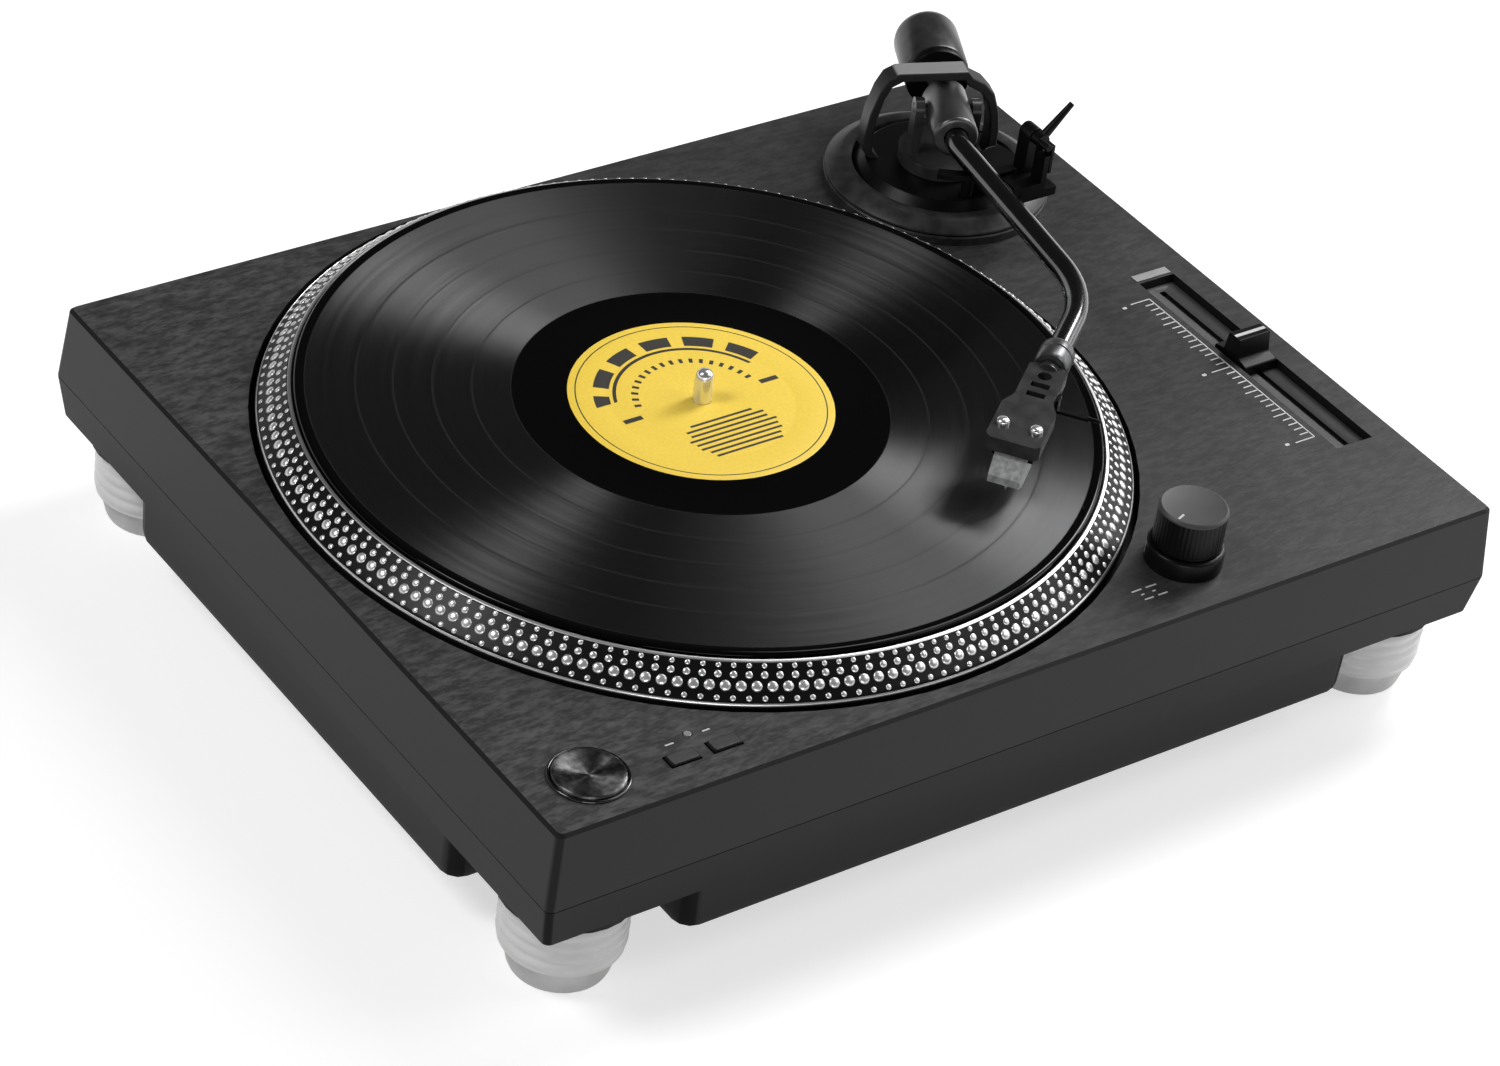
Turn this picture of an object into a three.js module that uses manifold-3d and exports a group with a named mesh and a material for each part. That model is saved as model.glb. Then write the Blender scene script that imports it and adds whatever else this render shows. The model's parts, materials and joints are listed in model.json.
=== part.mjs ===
// A direct-drive record player: cabinet and feet, motor and platter, S-shaped tonearm and controls.
// Millimetres, +Z up. It is laid out about the spindle with the deck's top at z = 0, and the finished
// group is moved at the end so that the middle of its lowest plane is the origin.
import * as THREE from "three";
import { mergeVertices } from "three/addons/utils/BufferGeometryUtils.js";
import Module from "manifold-3d";

const wasm = await Module();
wasm.setup();

// ---------------------------------------------------------------- driving dimensions

const clearance = 0.3; // between pieces that fit in or run past each other
const rad = THREE.MathUtils.degToRad;

const record = { radius: 150.8, hole: 3.65, thickness: 1.9, edge: 0.7 };
const label = { radius: 50, thickness: 0.15 };
const platter = { recordGap: 0.6, lip: 1.4, slopeWidth: 11, skirtTopZ: 1, skirtBottomZ: -7, rimZ: 11.6 };
const rimInner = record.radius + platter.recordGap;
const rimRadius = rimInner + platter.lip;
const skirtRadius = rimRadius + platter.slopeWidth;
const web = { topZ: 9, thickness: 5, hubRadius: 14, hubBottomZ: -1.2, skirtWall: 6 };
const slipmat = { radius: rimInner - 3.9, thickness: 2.4 };

const well = { radius: skirtRadius + 2.7, depth: 12, motorOpening: 58 };
const margin = { left: 7, right: 80.5, front: 6.5, back: 1.5 }; // from the well's wall to the deck's edges
const deck = {
  left: -well.radius - margin.left, right: well.radius + margin.right,
  front: -well.radius - margin.front, back: well.radius + margin.back,
  corner: 3, edge: 1.2, thickness: 3.5,
};
const cabinet = { wall: 3, seamZ: -31, flare: 2.5, cornerZ: -48.5, floorZ: -67, rounding: 2.4, notch: 58, notchRadius: 22, notchEdge: 7 };
const foot = { inset: 26.5, radius: 23.3, bossRadius: 25.2, bossHeight: 3.4, height: 22.6, padHeight: 11.4 };

const spindle = { radius: 3.55, topZ: 27, footZ: -49.7 };
const bearing = { radius: 9, shoulderRadius: 11.5, flangeRadius: 20, flangeThickness: 3, floor: 3.5, topZ: -1.7 };
const motorPlate = { radius: 64, thickness: 2 };
const stator = { z: -11, thickness: 3, yokeRadius: 21, toothRadius: 39, teeth: 12, toothWidth: 4.2 };
const winding = { inner: 26, outer: 32, lobe: 6.6, topZ: -4 };
const magnet = { inner: 41.5, outer: 48, bottomZ: -11.6 };


const startButton = {
  x: deck.left + 26.5, y: deck.front + 22.5, radius: 13.2, height: 1.9, dish: 1.1, travel: 1.5,
  bezelWidth: 1.2, bezelHeight: 1,
};
const speedButton = { y: deck.front + 16.2, width: 12, depth: 6, height: 1.2, travel: 1 };
const speedButtonX = { speed_button_33: deck.left + 60.5, speed_button_45: deck.left + 77.8 };
const led = { x: deck.left + 69.3, y: deck.front + 26.1, radius: 1.5 };
const buttonBoard = {
  left: deck.left + 7.5, right: deck.left + 87.5, front: deck.front + 4, back: deck.front + 31,
  topZ: -17.2, thickness: 1.6,
};
const boardPost = 2.6;
const switchSize = { side: 7, height: 4 };

const knobBearing = rad(-50.98);
const knobDistance = well.radius + 20.13;
const powerKnob = {
  x: knobDistance * Math.cos(knobBearing), y: knobDistance * Math.sin(knobBearing), radius: 13, topZ: 24.5,
};
const strobeTower = { radius: 14.8, height: 8, wall: 2, lensWidth: 9, lensHeight: 5 };
const powerSwitch = { radius: 11, height: 13, shaftRadius: 3 };

const pitch = {
  left: deck.right - 30, right: deck.right - 12.5, front: deck.front + 56.4, back: deck.front + 178.5,
  recess: 4, slotX: deck.right - 21, slotWidth: 3, slotMargin: 4,
};
const fader = {
  width: 15.6, length: 19, offCentre: 5, baseTopZ: 1.6, gripZ: 9.8, gripLength: 9,
};
const faderBody = { width: 13, height: 13, wall: 1.6, blade: 1.6, bladeLength: 6, bladeReach: 8 };

const armBore = 34.9;
const armBase = {
  bore: armBore, radius: armBore + 11.1, collarHeight: 4, rimHeight: 1.2, ringTopZ: 9, ringTopRadius: armBore + 4.8,
};
const armBearing = rad(28.393);
const armDistance = skirtRadius + armBase.radius + 0.5;
const arm = {
  x: armDistance * Math.cos(armBearing), y: armDistance * Math.sin(armBearing),
  pivotZ: 35.5, yaw: 242.9, tubeRadius: 4.7,
};
const turret = { topZ: 11, shoulderZ: 6.5, topRadius: 30, bottomZ: -22, wall: 4, bossHeight: 10 };
const arch = { turn: -20, frontY: 2.5, depth: 9, thickness: 4.2, halfWidth: 32, height: 39.6 };
const yoke = { discRadius: 17, discTopZ: 16.6, inner: 9.7, outer: 13.5, halfDepth: 4.4, shaftRadius: 5, shaftZ: 2 };
const block = { radius: 9, back: -9, front: 22, stubRadius: 4.6, stubEnd: -66, tubeSeat: 12, pinRadius: 1.8 };
const tube = {
  straight1: 23.4, bend1: 17.2, radius1: 28.4, straight2: 82.4, bend2: -42.6, radius2: 54.9, straight3: 24.5,
};
const weight = { radius: 13.4, front: -26, back: -57, round: 5, dialRadius: 13.2, dialThickness: 3.6 };

const collar = { radius: 6.3, back: -3.5, front: 9, seat: 4 };
const shell = { plugRadius: 4, neck: 7.4, wing: 10.4, start: 9.4, step: 36, end: 64, top: 2.1, plate: 2.2, lip: 3.6 };
const screwHoles = { x: 53.3, spacing: 12.7, radius: 1.4 };
const cartridge = { back: 40, front: 57.2, width: 15.6, height: 9.6 };
const stylus = {
  front: 67.5, back: 48, width: 12, noseTop: 4.4, noseDepth: 3.6, chin: 3, bottomZ: 17.6, tipX: 60, tipRadius: 0.5,
};
const fingerLift = { x: 29, reach: 18, width: 2.6, thickness: 1.2 };

const armRest = {
  x: 2.6, y: -50, depth: 6.5, wall: 2.6, halfFoot: 4, hingeZ: 45, slack: 0.7, dip: 1.4, ear: 1.7, prong: 3, sink: 1,
};
const restBracket = { topZ: 26, thickness: 4, left: 3, right: 14, front: -28, back: -19.5 };
const clip = { thickness: 1.6, length: 12, hingeRadius: 1.5 };
const cuePost = { x: 13.2, y: -37, width: 7, depth: 7, hubZ: 42.5, pinRadius: 1.4 };
const cueLever = { length: 19, radius: 2.1, tipRadius: 1.2, hubRadius: 3, hubWidth: 4.4, rise: 45 };
const cueLift = {
  inner: 37.8, outer: 42.2, from: 229, to: 276, thickness: 2.2, stemAt: 258, stemRadius: 2.4, stemZ: 1,
  linkWidth: 4, linkThickness: 1.9,
};
const antiSkate = { at: 325, distance: 23.2, radius: 5.6, height: 6.5 };

const pocket = { left: deck.right - 155, right: deck.right - 65, bottomZ: -60, topZ: -37.5, depth: 12 };
const jack = { panel: 2, reach: 7.6, radius: 4.3, bore: 1.7, spacing: 16, x: pocket.left + 20 };
const inlet = { x: pocket.right - 22, width: 21, height: 13, reach: 7, socketWidth: 14, socketHeight: 7.5, socketDepth: 5.5 };
const mainBoard = {
  left: -60, right: 60, front: deck.front + 48, back: deck.front + 105, thickness: 1.6, post: 6, postRadius: 3.4,
};
const transformer = {
  left: deck.left + 33.5, right: deck.left + 101.5, front: deck.back - 128, back: deck.back - 76, height: 34,
};

// ---------------------------------------------------------------- materials

const paint = (color, roughness, metalness = 0) => new THREE.MeshStandardMaterial({ color, roughness, metalness });
const finish = {
  deck: paint(0x3d3d3f, 0.55),
  cabinet: paint(0x2b2b2c, 0.6),
  blackPlastic: paint(0x17181a, 0.4),
  glossBlack: paint(0x0c0c0d, 0.12),
  darkMetal: paint(0x2d2e31, 0.32, 0.7),
  silver: paint(0xb9bbbd, 0.3, 0.9),
  steel: paint(0x9a9da0, 0.3, 0.9),
  aluminium: paint(0xa7a9ab, 0.35, 0.9),
  brass: paint(0xb08d4a, 0.35, 0.9),
  copper: paint(0xa35b34, 0.45, 0.8),
  ferrite: paint(0x3a3a3c, 0.7),
  felt: paint(0x1b1b1b, 0.95),
  vinyl: paint(0x0a0a0b, 0.2),
  label: paint(0xf5cf45, 0.7),
  footClear: paint(0xb4b4b2, 0.25),
  rubber: paint(0x8d8d8b, 0.6),
  board: paint(0x2c5a35, 0.6),
  lens: paint(0xd8d8d8, 0.15),
};

// ---------------------------------------------------------------- shape helpers

/** Turns a closed three.js geometry into a manifold solid. */
function solid(geometry) {
  const plain = geometry.clone();
  plain.deleteAttribute("normal");
  plain.deleteAttribute("uv");
  const merged = mergeVertices(plain, 1e-4);
  const mesh = new wasm.Mesh({
    numProp: 3,
    vertProperties: new Float32Array(merged.attributes.position.array),
    triVerts: new Uint32Array(merged.index.array),
  });
  return new wasm.Manifold(mesh);
}

/** Turns a manifold solid back into a flat-shaded three.js geometry. */
function toGeometry(body) {
  const mesh = body.getMesh();
  const geometry = new THREE.BufferGeometry();
  geometry.setAttribute("position", new THREE.BufferAttribute(new Float32Array(mesh.vertProperties), 3));
  geometry.setIndex(new THREE.BufferAttribute(new Uint32Array(mesh.triVerts), 1));
  const flat = geometry.toNonIndexed();
  flat.computeVertexNormals();
  return flat;
}

/** Joins any number of solids. */
const join = (first, ...rest) => rest.reduce((sum, next) => sum.add(next), first);

/** Cuts any number of solids out of the first. */
const cut = (body, ...tools) => tools.reduce((left, tool) => left.subtract(tool), body);

/** A box between two corners. */
function box(x0, x1, y0, y1, z0, z1) {
  const geometry = new THREE.BoxGeometry(x1 - x0, y1 - y0, z1 - z0);
  return solid(geometry.translate((x0 + x1) / 2, (y0 + y1) / 2, (z0 + z1) / 2));
}

/** An upright round bar about (x, y). */
function drum(radius, z0, z1, x = 0, y = 0, sides = 28) {
  const geometry = new THREE.CylinderGeometry(radius, radius, z1 - z0, sides).rotateX(Math.PI / 2);
  return solid(geometry.translate(x, y, (z0 + z1) / 2));
}

/** A round bar lying along X, from x0 to x1, about (y, z). */
function barX(radius, x0, x1, y = 0, z = 0, sides = 24) {
  const geometry = new THREE.CylinderGeometry(radius, radius, x1 - x0, sides).rotateZ(Math.PI / 2);
  return solid(geometry.translate((x0 + x1) / 2, y, z));
}

/** A round bar lying along Y, from y0 to y1, about (x, z). */
function barY(radius, y0, y1, x = 0, z = 0, sides = 20) {
  const geometry = new THREE.CylinderGeometry(radius, radius, y1 - y0, sides);
  return solid(geometry.translate(x, (y0 + y1) / 2, z));
}

/** A round bar between two points, with its own radius at each end. */
function barBetween(from, to, fromRadius, toRadius = fromRadius, sides = 16) {
  const start = new THREE.Vector3(...from);
  const along = new THREE.Vector3(...to).sub(start);
  const geometry = new THREE.CylinderGeometry(toRadius, fromRadius, along.length(), sides);
  const turn = new THREE.Quaternion().setFromUnitVectors(new THREE.Vector3(0, 1, 0), along.clone().normalize());
  const middle = start.addScaledVector(along, 0.5);
  return solid(geometry.applyQuaternion(turn).translate(middle.x, middle.y, middle.z));
}

/** Spins a profile of [radius, z] points about Z. A profile that leaves the axis open is closed on itself. */
function turned(profile, sides = 36) {
  const points = profile.map(([radius, z]) => new THREE.Vector2(radius, z));
  const onAxis = points[0].x === 0 && points.at(-1).x === 0;
  if (!onAxis) points.push(points[0].clone());
  if (THREE.ShapeUtils.area(points) < 0) points.reverse();
  return solid(new THREE.LatheGeometry(points, sides).rotateX(Math.PI / 2));
}

/** The same spin about X, with a profile of [radius, x] points. */
const turnedX = (profile, sides = 28) => turned(profile, sides).rotate([0, 90, 0]);

/** Joins outlines of equal point count, given from the lowest up, into one closed solid. */
function loft(sections) {
  const count = sections[0].outline.length;
  const positions = sections.flatMap(({ outline, z }) => outline.flatMap((point) => [point.x, point.y, z]));
  const index = [];
  for (let level = 0; level < sections.length - 1; level += 1) {
    for (let i = 0; i < count; i += 1) {
      const here = level * count + i;
      const next = level * count + ((i + 1) % count);
      index.push(here, next, next + count, here, next + count, here + count);
    }
  }
  const cap = (level, flip) => {
    for (const face of THREE.ShapeUtils.triangulateShape(sections[level].outline, [])) {
      const [a, b, c] = face.map((corner) => corner + level * count);
      index.push(...(flip ? [a, c, b] : [a, b, c]));
    }
  };
  cap(0, true);
  cap(sections.length - 1, false);
  const geometry = new THREE.BufferGeometry();
  geometry.setAttribute("position", new THREE.Float32BufferAttribute(positions, 3));
  geometry.setIndex(index);
  return solid(geometry);
}

/** Extrudes a flat [x, y] outline upwards. */
const prism = (outline, z0, z1) =>
  loft([z0, z1].map((z) => ({ outline: outline.map(([x, y]) => new THREE.Vector2(x, y)), z })));

/** Extrudes an [x, z] outline along Y. */
const prismY = (outline, y0, y1) => prism(outline, -y1, -y0).rotate([90, 0, 0]);

/** Points of an arc about (x, y), with both ends. */
function arc(x, y, radius, fromDeg, toDeg, steps) {
  return Array.from({ length: steps + 1 }, (_, i) => {
    const angle = rad(fromDeg + ((toDeg - fromDeg) * i) / steps);
    return new THREE.Vector2(x + radius * Math.cos(angle), y + radius * Math.sin(angle));
  });
}

/** A rectangle with round corners, anticlockwise. */
function roundedRect(x0, x1, y0, y1, radius, steps = 5) {
  return [
    ...arc(x1 - radius, y0 + radius, radius, 270, 360, steps),
    ...arc(x1 - radius, y1 - radius, radius, 0, 90, steps),
    ...arc(x0 + radius, y1 - radius, radius, 90, 180, steps),
    ...arc(x0 + radius, y0 + radius, radius, 180, 270, steps),
  ];
}

/** The cabinet's plan, grown outwards by an amount or shrunk by a negative one. */
const plan = (grow) =>
  roundedRect(deck.left - grow, deck.right + grow, deck.front - grow, deck.back + grow, deck.corner + Math.min(grow, 0) / 2);

/** The plan of the part under the cabinet: its corners are cut away round the feet. */
function bulgePlan(inset) {
  const [x0, x1] = [deck.left + inset, deck.right - inset];
  const [y0, y1] = [deck.front + inset, deck.back - inset];
  const size = cabinet.notch + inset / 3;
  const { notchRadius, notchEdge } = cabinet;
  const inner = size - notchRadius;
  const outer = size + notchEdge;
  const notch = (x, y, fromDeg) => arc(x, y, notchRadius, fromDeg, fromDeg - 90, 4);
  const edge = (x, y, fromDeg) => arc(x, y, notchEdge, fromDeg, fromDeg + 90, 3);
  return [
    ...edge(x1 - outer, y0 + notchEdge, 270),
    ...notch(x1 - inner, y0 + inner, 180),
    ...edge(x1 - notchEdge, y0 + outer, 270),
    ...edge(x1 - notchEdge, y1 - outer, 0),
    ...notch(x1 - inner, y1 - inner, 270),
    ...edge(x1 - outer, y1 - notchEdge, 0),
    ...edge(x0 + outer, y1 - notchEdge, 90),
    ...notch(x0 + inner, y1 - inner, 0),
    ...edge(x0 + notchEdge, y1 - outer, 90),
    ...edge(x0 + notchEdge, y0 + outer, 180),
    ...notch(x0 + inner, y0 + inner, 90),
    ...edge(x0 + outer, y0 + notchEdge, 180),
  ];
}

/** Adds a named piece to a group. */
function add(parent, name, body, material) {
  const mesh = new THREE.Mesh(toGeometry(body), material);
  mesh.name = name;
  parent.add(mesh);
  return mesh;
}

/** A group placed in another one, turned about Z. */
function frameAt(parent, x, y, z = 0, turnDeg = 0) {
  const group = new THREE.Group();
  group.position.set(x, y, z);
  group.rotation.z = rad(turnDeg);
  parent.add(group);
  return group;
}

// ---------------------------------------------------------------- cabinet and feet

const panFloorZ = -(well.depth + cabinet.wall);
const trayFloorZ = -(pitch.recess + 2);
const footCentres = {
  front_left: [deck.left + foot.inset, deck.front + foot.inset],
  front_right: [deck.right - foot.inset, deck.front + foot.inset],
  back_left: [deck.left + foot.inset, deck.back - foot.inset],
  back_right: [deck.right - foot.inset, deck.back - foot.inset],
};

/** The deck with its side walls, the platter's well, the fader's tray and all its openings. */
function topCabinet() {
  const outer = loft([
    { outline: plan(cabinet.flare), z: cabinet.seamZ },
    { outline: plan(0), z: -deck.edge },
    { outline: plan(-deck.edge), z: 0 },
  ]);
  const hollow = loft([
    { outline: plan(cabinet.flare - cabinet.wall), z: cabinet.seamZ - 1 },
    { outline: plan(-cabinet.wall), z: -deck.thickness },
  ]);
  const pan = drum(well.radius + cabinet.wall, panFloorZ, -deck.thickness / 2, 0, 0, 72).intersect(outer);
  const tray = box(
    pitch.left - cabinet.wall, pitch.right + cabinet.wall,
    pitch.front - cabinet.wall, pitch.back + cabinet.wall,
    trayFloorZ, -deck.thickness / 2,
  );
  const buttonHoles = Object.values(speedButtonX).map((x) => {
    const [halfWidth, halfDepth] = [speedButton.width / 2 + clearance, speedButton.depth / 2 + clearance];
    return box(x - halfWidth, x + halfWidth, speedButton.y - halfDepth, speedButton.y + halfDepth, -10, 1);
  });
  const posts = [buttonBoard.left + 5, buttonBoard.right - 5].map((x) =>
    drum(boardPost, buttonBoard.topZ, -deck.thickness / 2, x, buttonBoard.front + 5, 16));
  return cut(
    join(outer.subtract(hollow), pan, tray, ...posts),
    drum(well.radius, -well.depth, 1, 0, 0, 72),
    drum(well.motorOpening, panFloorZ - 1, 0),
    box(pitch.left, pitch.right, pitch.front, pitch.back, -pitch.recess, 1),
    box(
      pitch.slotX - pitch.slotWidth / 2, pitch.slotX + pitch.slotWidth / 2,
      pitch.front + pitch.slotMargin, pitch.back - pitch.slotMargin, trayFloorZ - 1, 0,
    ),
    drum(startButton.radius + clearance, -10, 1, startButton.x, startButton.y),
    ...buttonHoles,
    drum(led.radius + clearance, -10, 1, led.x, led.y, 16),
    drum(powerSwitch.shaftRadius + clearance, -10, 1, powerKnob.x, powerKnob.y, 24),
    drum(armBase.bore, -10, 1, arm.x, arm.y, 44),
  );
}

/** The lower shell: side walls under the seam, the deeper middle and the feet's bosses. */
function bottomBase() {
  const { wall, flare, seamZ, cornerZ, floorZ, rounding } = cabinet;
  const top = seamZ - clearance;
  const upper = loft([{ outline: plan(0), z: cornerZ }, { outline: plan(flare), z: top }]);
  const upperHollow = loft([
    { outline: plan(-wall), z: cornerZ + wall },
    { outline: plan(flare - wall), z: top + 1 },
  ]);
  const bulge = loft([
    { outline: bulgePlan(rounding), z: floorZ },
    { outline: bulgePlan(rounding * 0.3), z: floorZ + rounding * 0.6 },
    { outline: bulgePlan(rounding * 0.1), z: floorZ + rounding * 2 },
    { outline: bulgePlan(0), z: cornerZ },
  ]);
  const bulgeHollow = loft([
    { outline: bulgePlan(rounding + wall), z: floorZ + wall },
    { outline: bulgePlan(wall), z: floorZ + wall + rounding },
    { outline: bulgePlan(wall), z: cornerZ + wall + 1 },
  ]);
  const shellBody = cut(join(upper, bulge), upperHollow, bulgeHollow);
  const bosses = Object.values(footCentres).map(([x, y]) =>
    drum(foot.bossRadius, cornerZ - foot.bossHeight, cornerZ + wall, x, y));
  const housing = box(
    pocket.left - wall, pocket.right + wall, deck.back - pocket.depth - wall, deck.back - 1,
    pocket.bottomZ - 2, pocket.topZ + wall,
  );
  const posts = [mainBoard.left + 8, mainBoard.right - 8].flatMap((x) =>
    [mainBoard.front + 8, mainBoard.back - 8].map((y) =>
      drum(mainBoard.postRadius, floorZ + wall / 2, floorZ + wall + mainBoard.post, x, y, 16)));
  const opening = box(
    pocket.left, pocket.right, deck.back - pocket.depth, deck.back + 10, pocket.bottomZ, pocket.topZ,
  );
  return cut(join(shellBody, ...bosses, housing, ...posts), opening);
}

/** A foot's grey translucent body: a drum with a shallow groove round it. */
function footBody() {
  const top = -clearance / 3;
  const bottom = -foot.height;
  const groove = bottom + foot.height * 0.34;
  return turned([
    [0, bottom], [foot.radius - 1.2, bottom], [foot.radius, bottom + 1.2],
    [foot.radius, groove - 1], [foot.radius - 0.9, groove], [foot.radius, groove + 1],
    [foot.radius, top - 0.8], [foot.radius - 0.8, top], [0, top],
  ], 28);
}

/** The softer tapered ring that a foot stands on. */
function footPad() {
  const top = -foot.height;
  const bottom = top - foot.padHeight + clearance / 3;
  return turned([
    [0, bottom], [foot.radius - 6.5, bottom], [foot.radius - 4.6, bottom + 1.6],
    [foot.radius - 2.6, top - 1], [foot.radius - 3.2, top], [0, top],
  ], 28);
}

const footTopZ = cabinet.cornerZ - foot.bossHeight + clearance / 3;
const floorPlaneZ = footTopZ - foot.height - foot.padHeight + clearance / 3;

function addCabinet(root) {
  add(root, "top_cabinet", topCabinet(), finish.deck);
  add(root, "bottom_base", bottomBase(), finish.cabinet);
  for (const [corner, [x, y]] of Object.entries(footCentres)) {
    const place = frameAt(root, x, y, footTopZ);
    add(place, `foot_${corner}`, footBody(), finish.footClear);
    add(place, `foot_pad_${corner}`, footPad(), finish.rubber);
  }
}

// ---------------------------------------------------------------- motor, platter and record

const motorPlateTopZ = panFloorZ;
const motorPlateBottomZ = motorPlateTopZ - motorPlate.thickness;
const boreRadius = spindle.radius + clearance;

function bearingHousing() {
  const bottom = spindle.footZ - clearance - bearing.floor;
  const flangeBottom = motorPlateBottomZ - bearing.flangeThickness;
  return turned([
    [0, bottom], [bearing.radius, bottom], [bearing.radius, flangeBottom],
    [bearing.flangeRadius, flangeBottom], [bearing.flangeRadius, motorPlateBottomZ],
    [bearing.shoulderRadius, motorPlateBottomZ], [bearing.shoulderRadius, stator.z],
    [bearing.radius, stator.z], [bearing.radius, bearing.topZ], [boreRadius, bearing.topZ],
    [boreRadius, spindle.footZ - clearance], [0, spindle.footZ - clearance],
  ], 36);
}

function statorCore(grow = 0) {
  const z0 = stator.z - grow;
  const z1 = stator.z + stator.thickness + grow;
  const hub = drum(stator.yokeRadius + grow, z0, z1);
  const teeth = Array.from({ length: stator.teeth }, (_, i) => {
    const half = stator.toothWidth / 2 + grow;
    const stem = box(stator.yokeRadius - 2, stator.toothRadius - 1, -half, half, z0, z1);
    const pole = box(stator.toothRadius - 2.4 - grow, stator.toothRadius, -7.4, 7.4, z0, z1);
    return stem.add(pole).rotate([0, 0, (360 * i) / stator.teeth]);
  });
  return cut(join(hub, ...teeth), drum(bearing.radius + clearance, z0 - 1, z1 + 1));
}

function statorWinding() {
  const middle = (winding.inner + winding.outer) / 2;
  const z0 = motorPlateTopZ;
  const ring = turned([
    [winding.inner, z0], [winding.outer, z0], [winding.outer, winding.topZ], [winding.inner, winding.topZ],
  ]);
  const lobes = Array.from({ length: stator.teeth }, (_, i) => {
    const angle = (2 * Math.PI * i) / stator.teeth;
    return drum(winding.lobe, z0, winding.topZ, middle * Math.cos(angle), middle * Math.sin(angle), 12);
  });
  return cut(join(ring, ...lobes), statorCore(clearance));
}

function platterCasting() {
  const { skirtTopZ, skirtBottomZ, rimZ } = platter;
  const under = web.topZ - web.thickness;
  const skirtInner = skirtRadius - web.skirtWall;
  return turned([
    [boreRadius, web.hubBottomZ], [web.hubRadius, web.hubBottomZ], [web.hubRadius, under],
    [rimRadius - web.skirtWall, under], [skirtInner, skirtTopZ - 4], [skirtInner, skirtBottomZ],
    [skirtRadius, skirtBottomZ], [skirtRadius, skirtTopZ], [rimRadius, rimZ],
    [rimInner, rimZ], [rimInner, web.topZ], [boreRadius, web.topZ],
  ], 72);
}

function recordDisc() {
  const bottom = web.topZ + slipmat.thickness;
  const top = bottom + record.thickness;
  const { radius, hole, edge } = record;
  return turned([
    [hole, bottom], [radius - edge, bottom], [radius, bottom + edge], [radius, top - edge],
    [radius - edge, top], [hole, top],
  ], 72);
}

function addMotorAndPlatter(root) {
  const matTopZ = web.topZ + slipmat.thickness;
  const labelZ = matTopZ + record.thickness;
  const tip = spindle.topZ;
  add(root, "motor_plate", cut(
    drum(motorPlate.radius, motorPlateBottomZ, motorPlateTopZ, 0, 0, 64),
    drum(bearing.shoulderRadius + clearance, motorPlateBottomZ - 1, motorPlateTopZ + 1),
  ), finish.steel);
  add(root, "bearing_housing", bearingHousing(), finish.brass);
  add(root, "stator_core", statorCore(), finish.ferrite);
  add(root, "stator_winding", statorWinding(), finish.copper);
  add(root, "rotor_magnet", turned([
    [magnet.inner, magnet.bottomZ], [magnet.outer, magnet.bottomZ],
    [magnet.outer, web.topZ - web.thickness], [magnet.inner, web.topZ - web.thickness],
  ]), finish.ferrite);
  add(root, "spindle", turned([
    [0, spindle.footZ], [spindle.radius, spindle.footZ], [spindle.radius, tip - 3.4],
    [spindle.radius - 0.9, tip - 1.2], [spindle.radius - 2.2, tip - 0.2], [0, tip],
  ], 24), finish.silver);
  add(root, "platter", platterCasting(), finish.aluminium);
  add(root, "slipmat", turned([
    [boreRadius, web.topZ], [slipmat.radius, web.topZ], [slipmat.radius, matTopZ], [boreRadius, matTopZ],
  ], 60), finish.felt);
  add(root, "record", recordDisc(), finish.vinyl);
  add(root, "record_label", turned([
    [record.hole, labelZ], [label.radius, labelZ],
    [label.radius, labelZ + label.thickness], [record.hole, labelZ + label.thickness],
  ], 48), finish.label);
}

// ---------------------------------------------------------------- buttons, knob and fader

const switchTopZ = buttonBoard.topZ + switchSize.height;

function tactSwitch(x, y) {
  const half = switchSize.side / 2;
  return box(x - half, x + half, y - half, y + half, buttonBoard.topZ, switchTopZ);
}

/** The round dished start and stop button with its stem. */
function startButtonBody() {
  const { radius, height, dish, travel } = startButton;
  const skirtZ = -deck.thickness - 1;
  return turned([
    [0, switchTopZ + travel + clearance], [4, switchTopZ + travel + clearance], [4, skirtZ],
    [radius, skirtZ], [radius, height - 0.7], [radius - 0.8, height],
    [radius - 3, height], [radius - 6, height - dish * 0.7], [0, height - dish],
  ], 36);
}

function speedButtonBody() {
  const { width, depth, height, travel } = speedButton;
  const cap = loft([
    { outline: roundedRect(-width / 2, width / 2, -depth / 2, depth / 2, 1.2, 3), z: -deck.thickness - 1 },
    { outline: roundedRect(-width / 2, width / 2, -depth / 2, depth / 2, 1.2, 3), z: height - 0.5 },
    { outline: roundedRect(-width / 2 + 0.5, width / 2 - 0.5, -depth / 2 + 0.5, depth / 2 - 0.5, 0.9, 3), z: height },
  ]);
  return cap.add(drum(1.8, switchTopZ + travel + clearance, -deck.thickness, 0, 0, 16));
}

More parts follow.
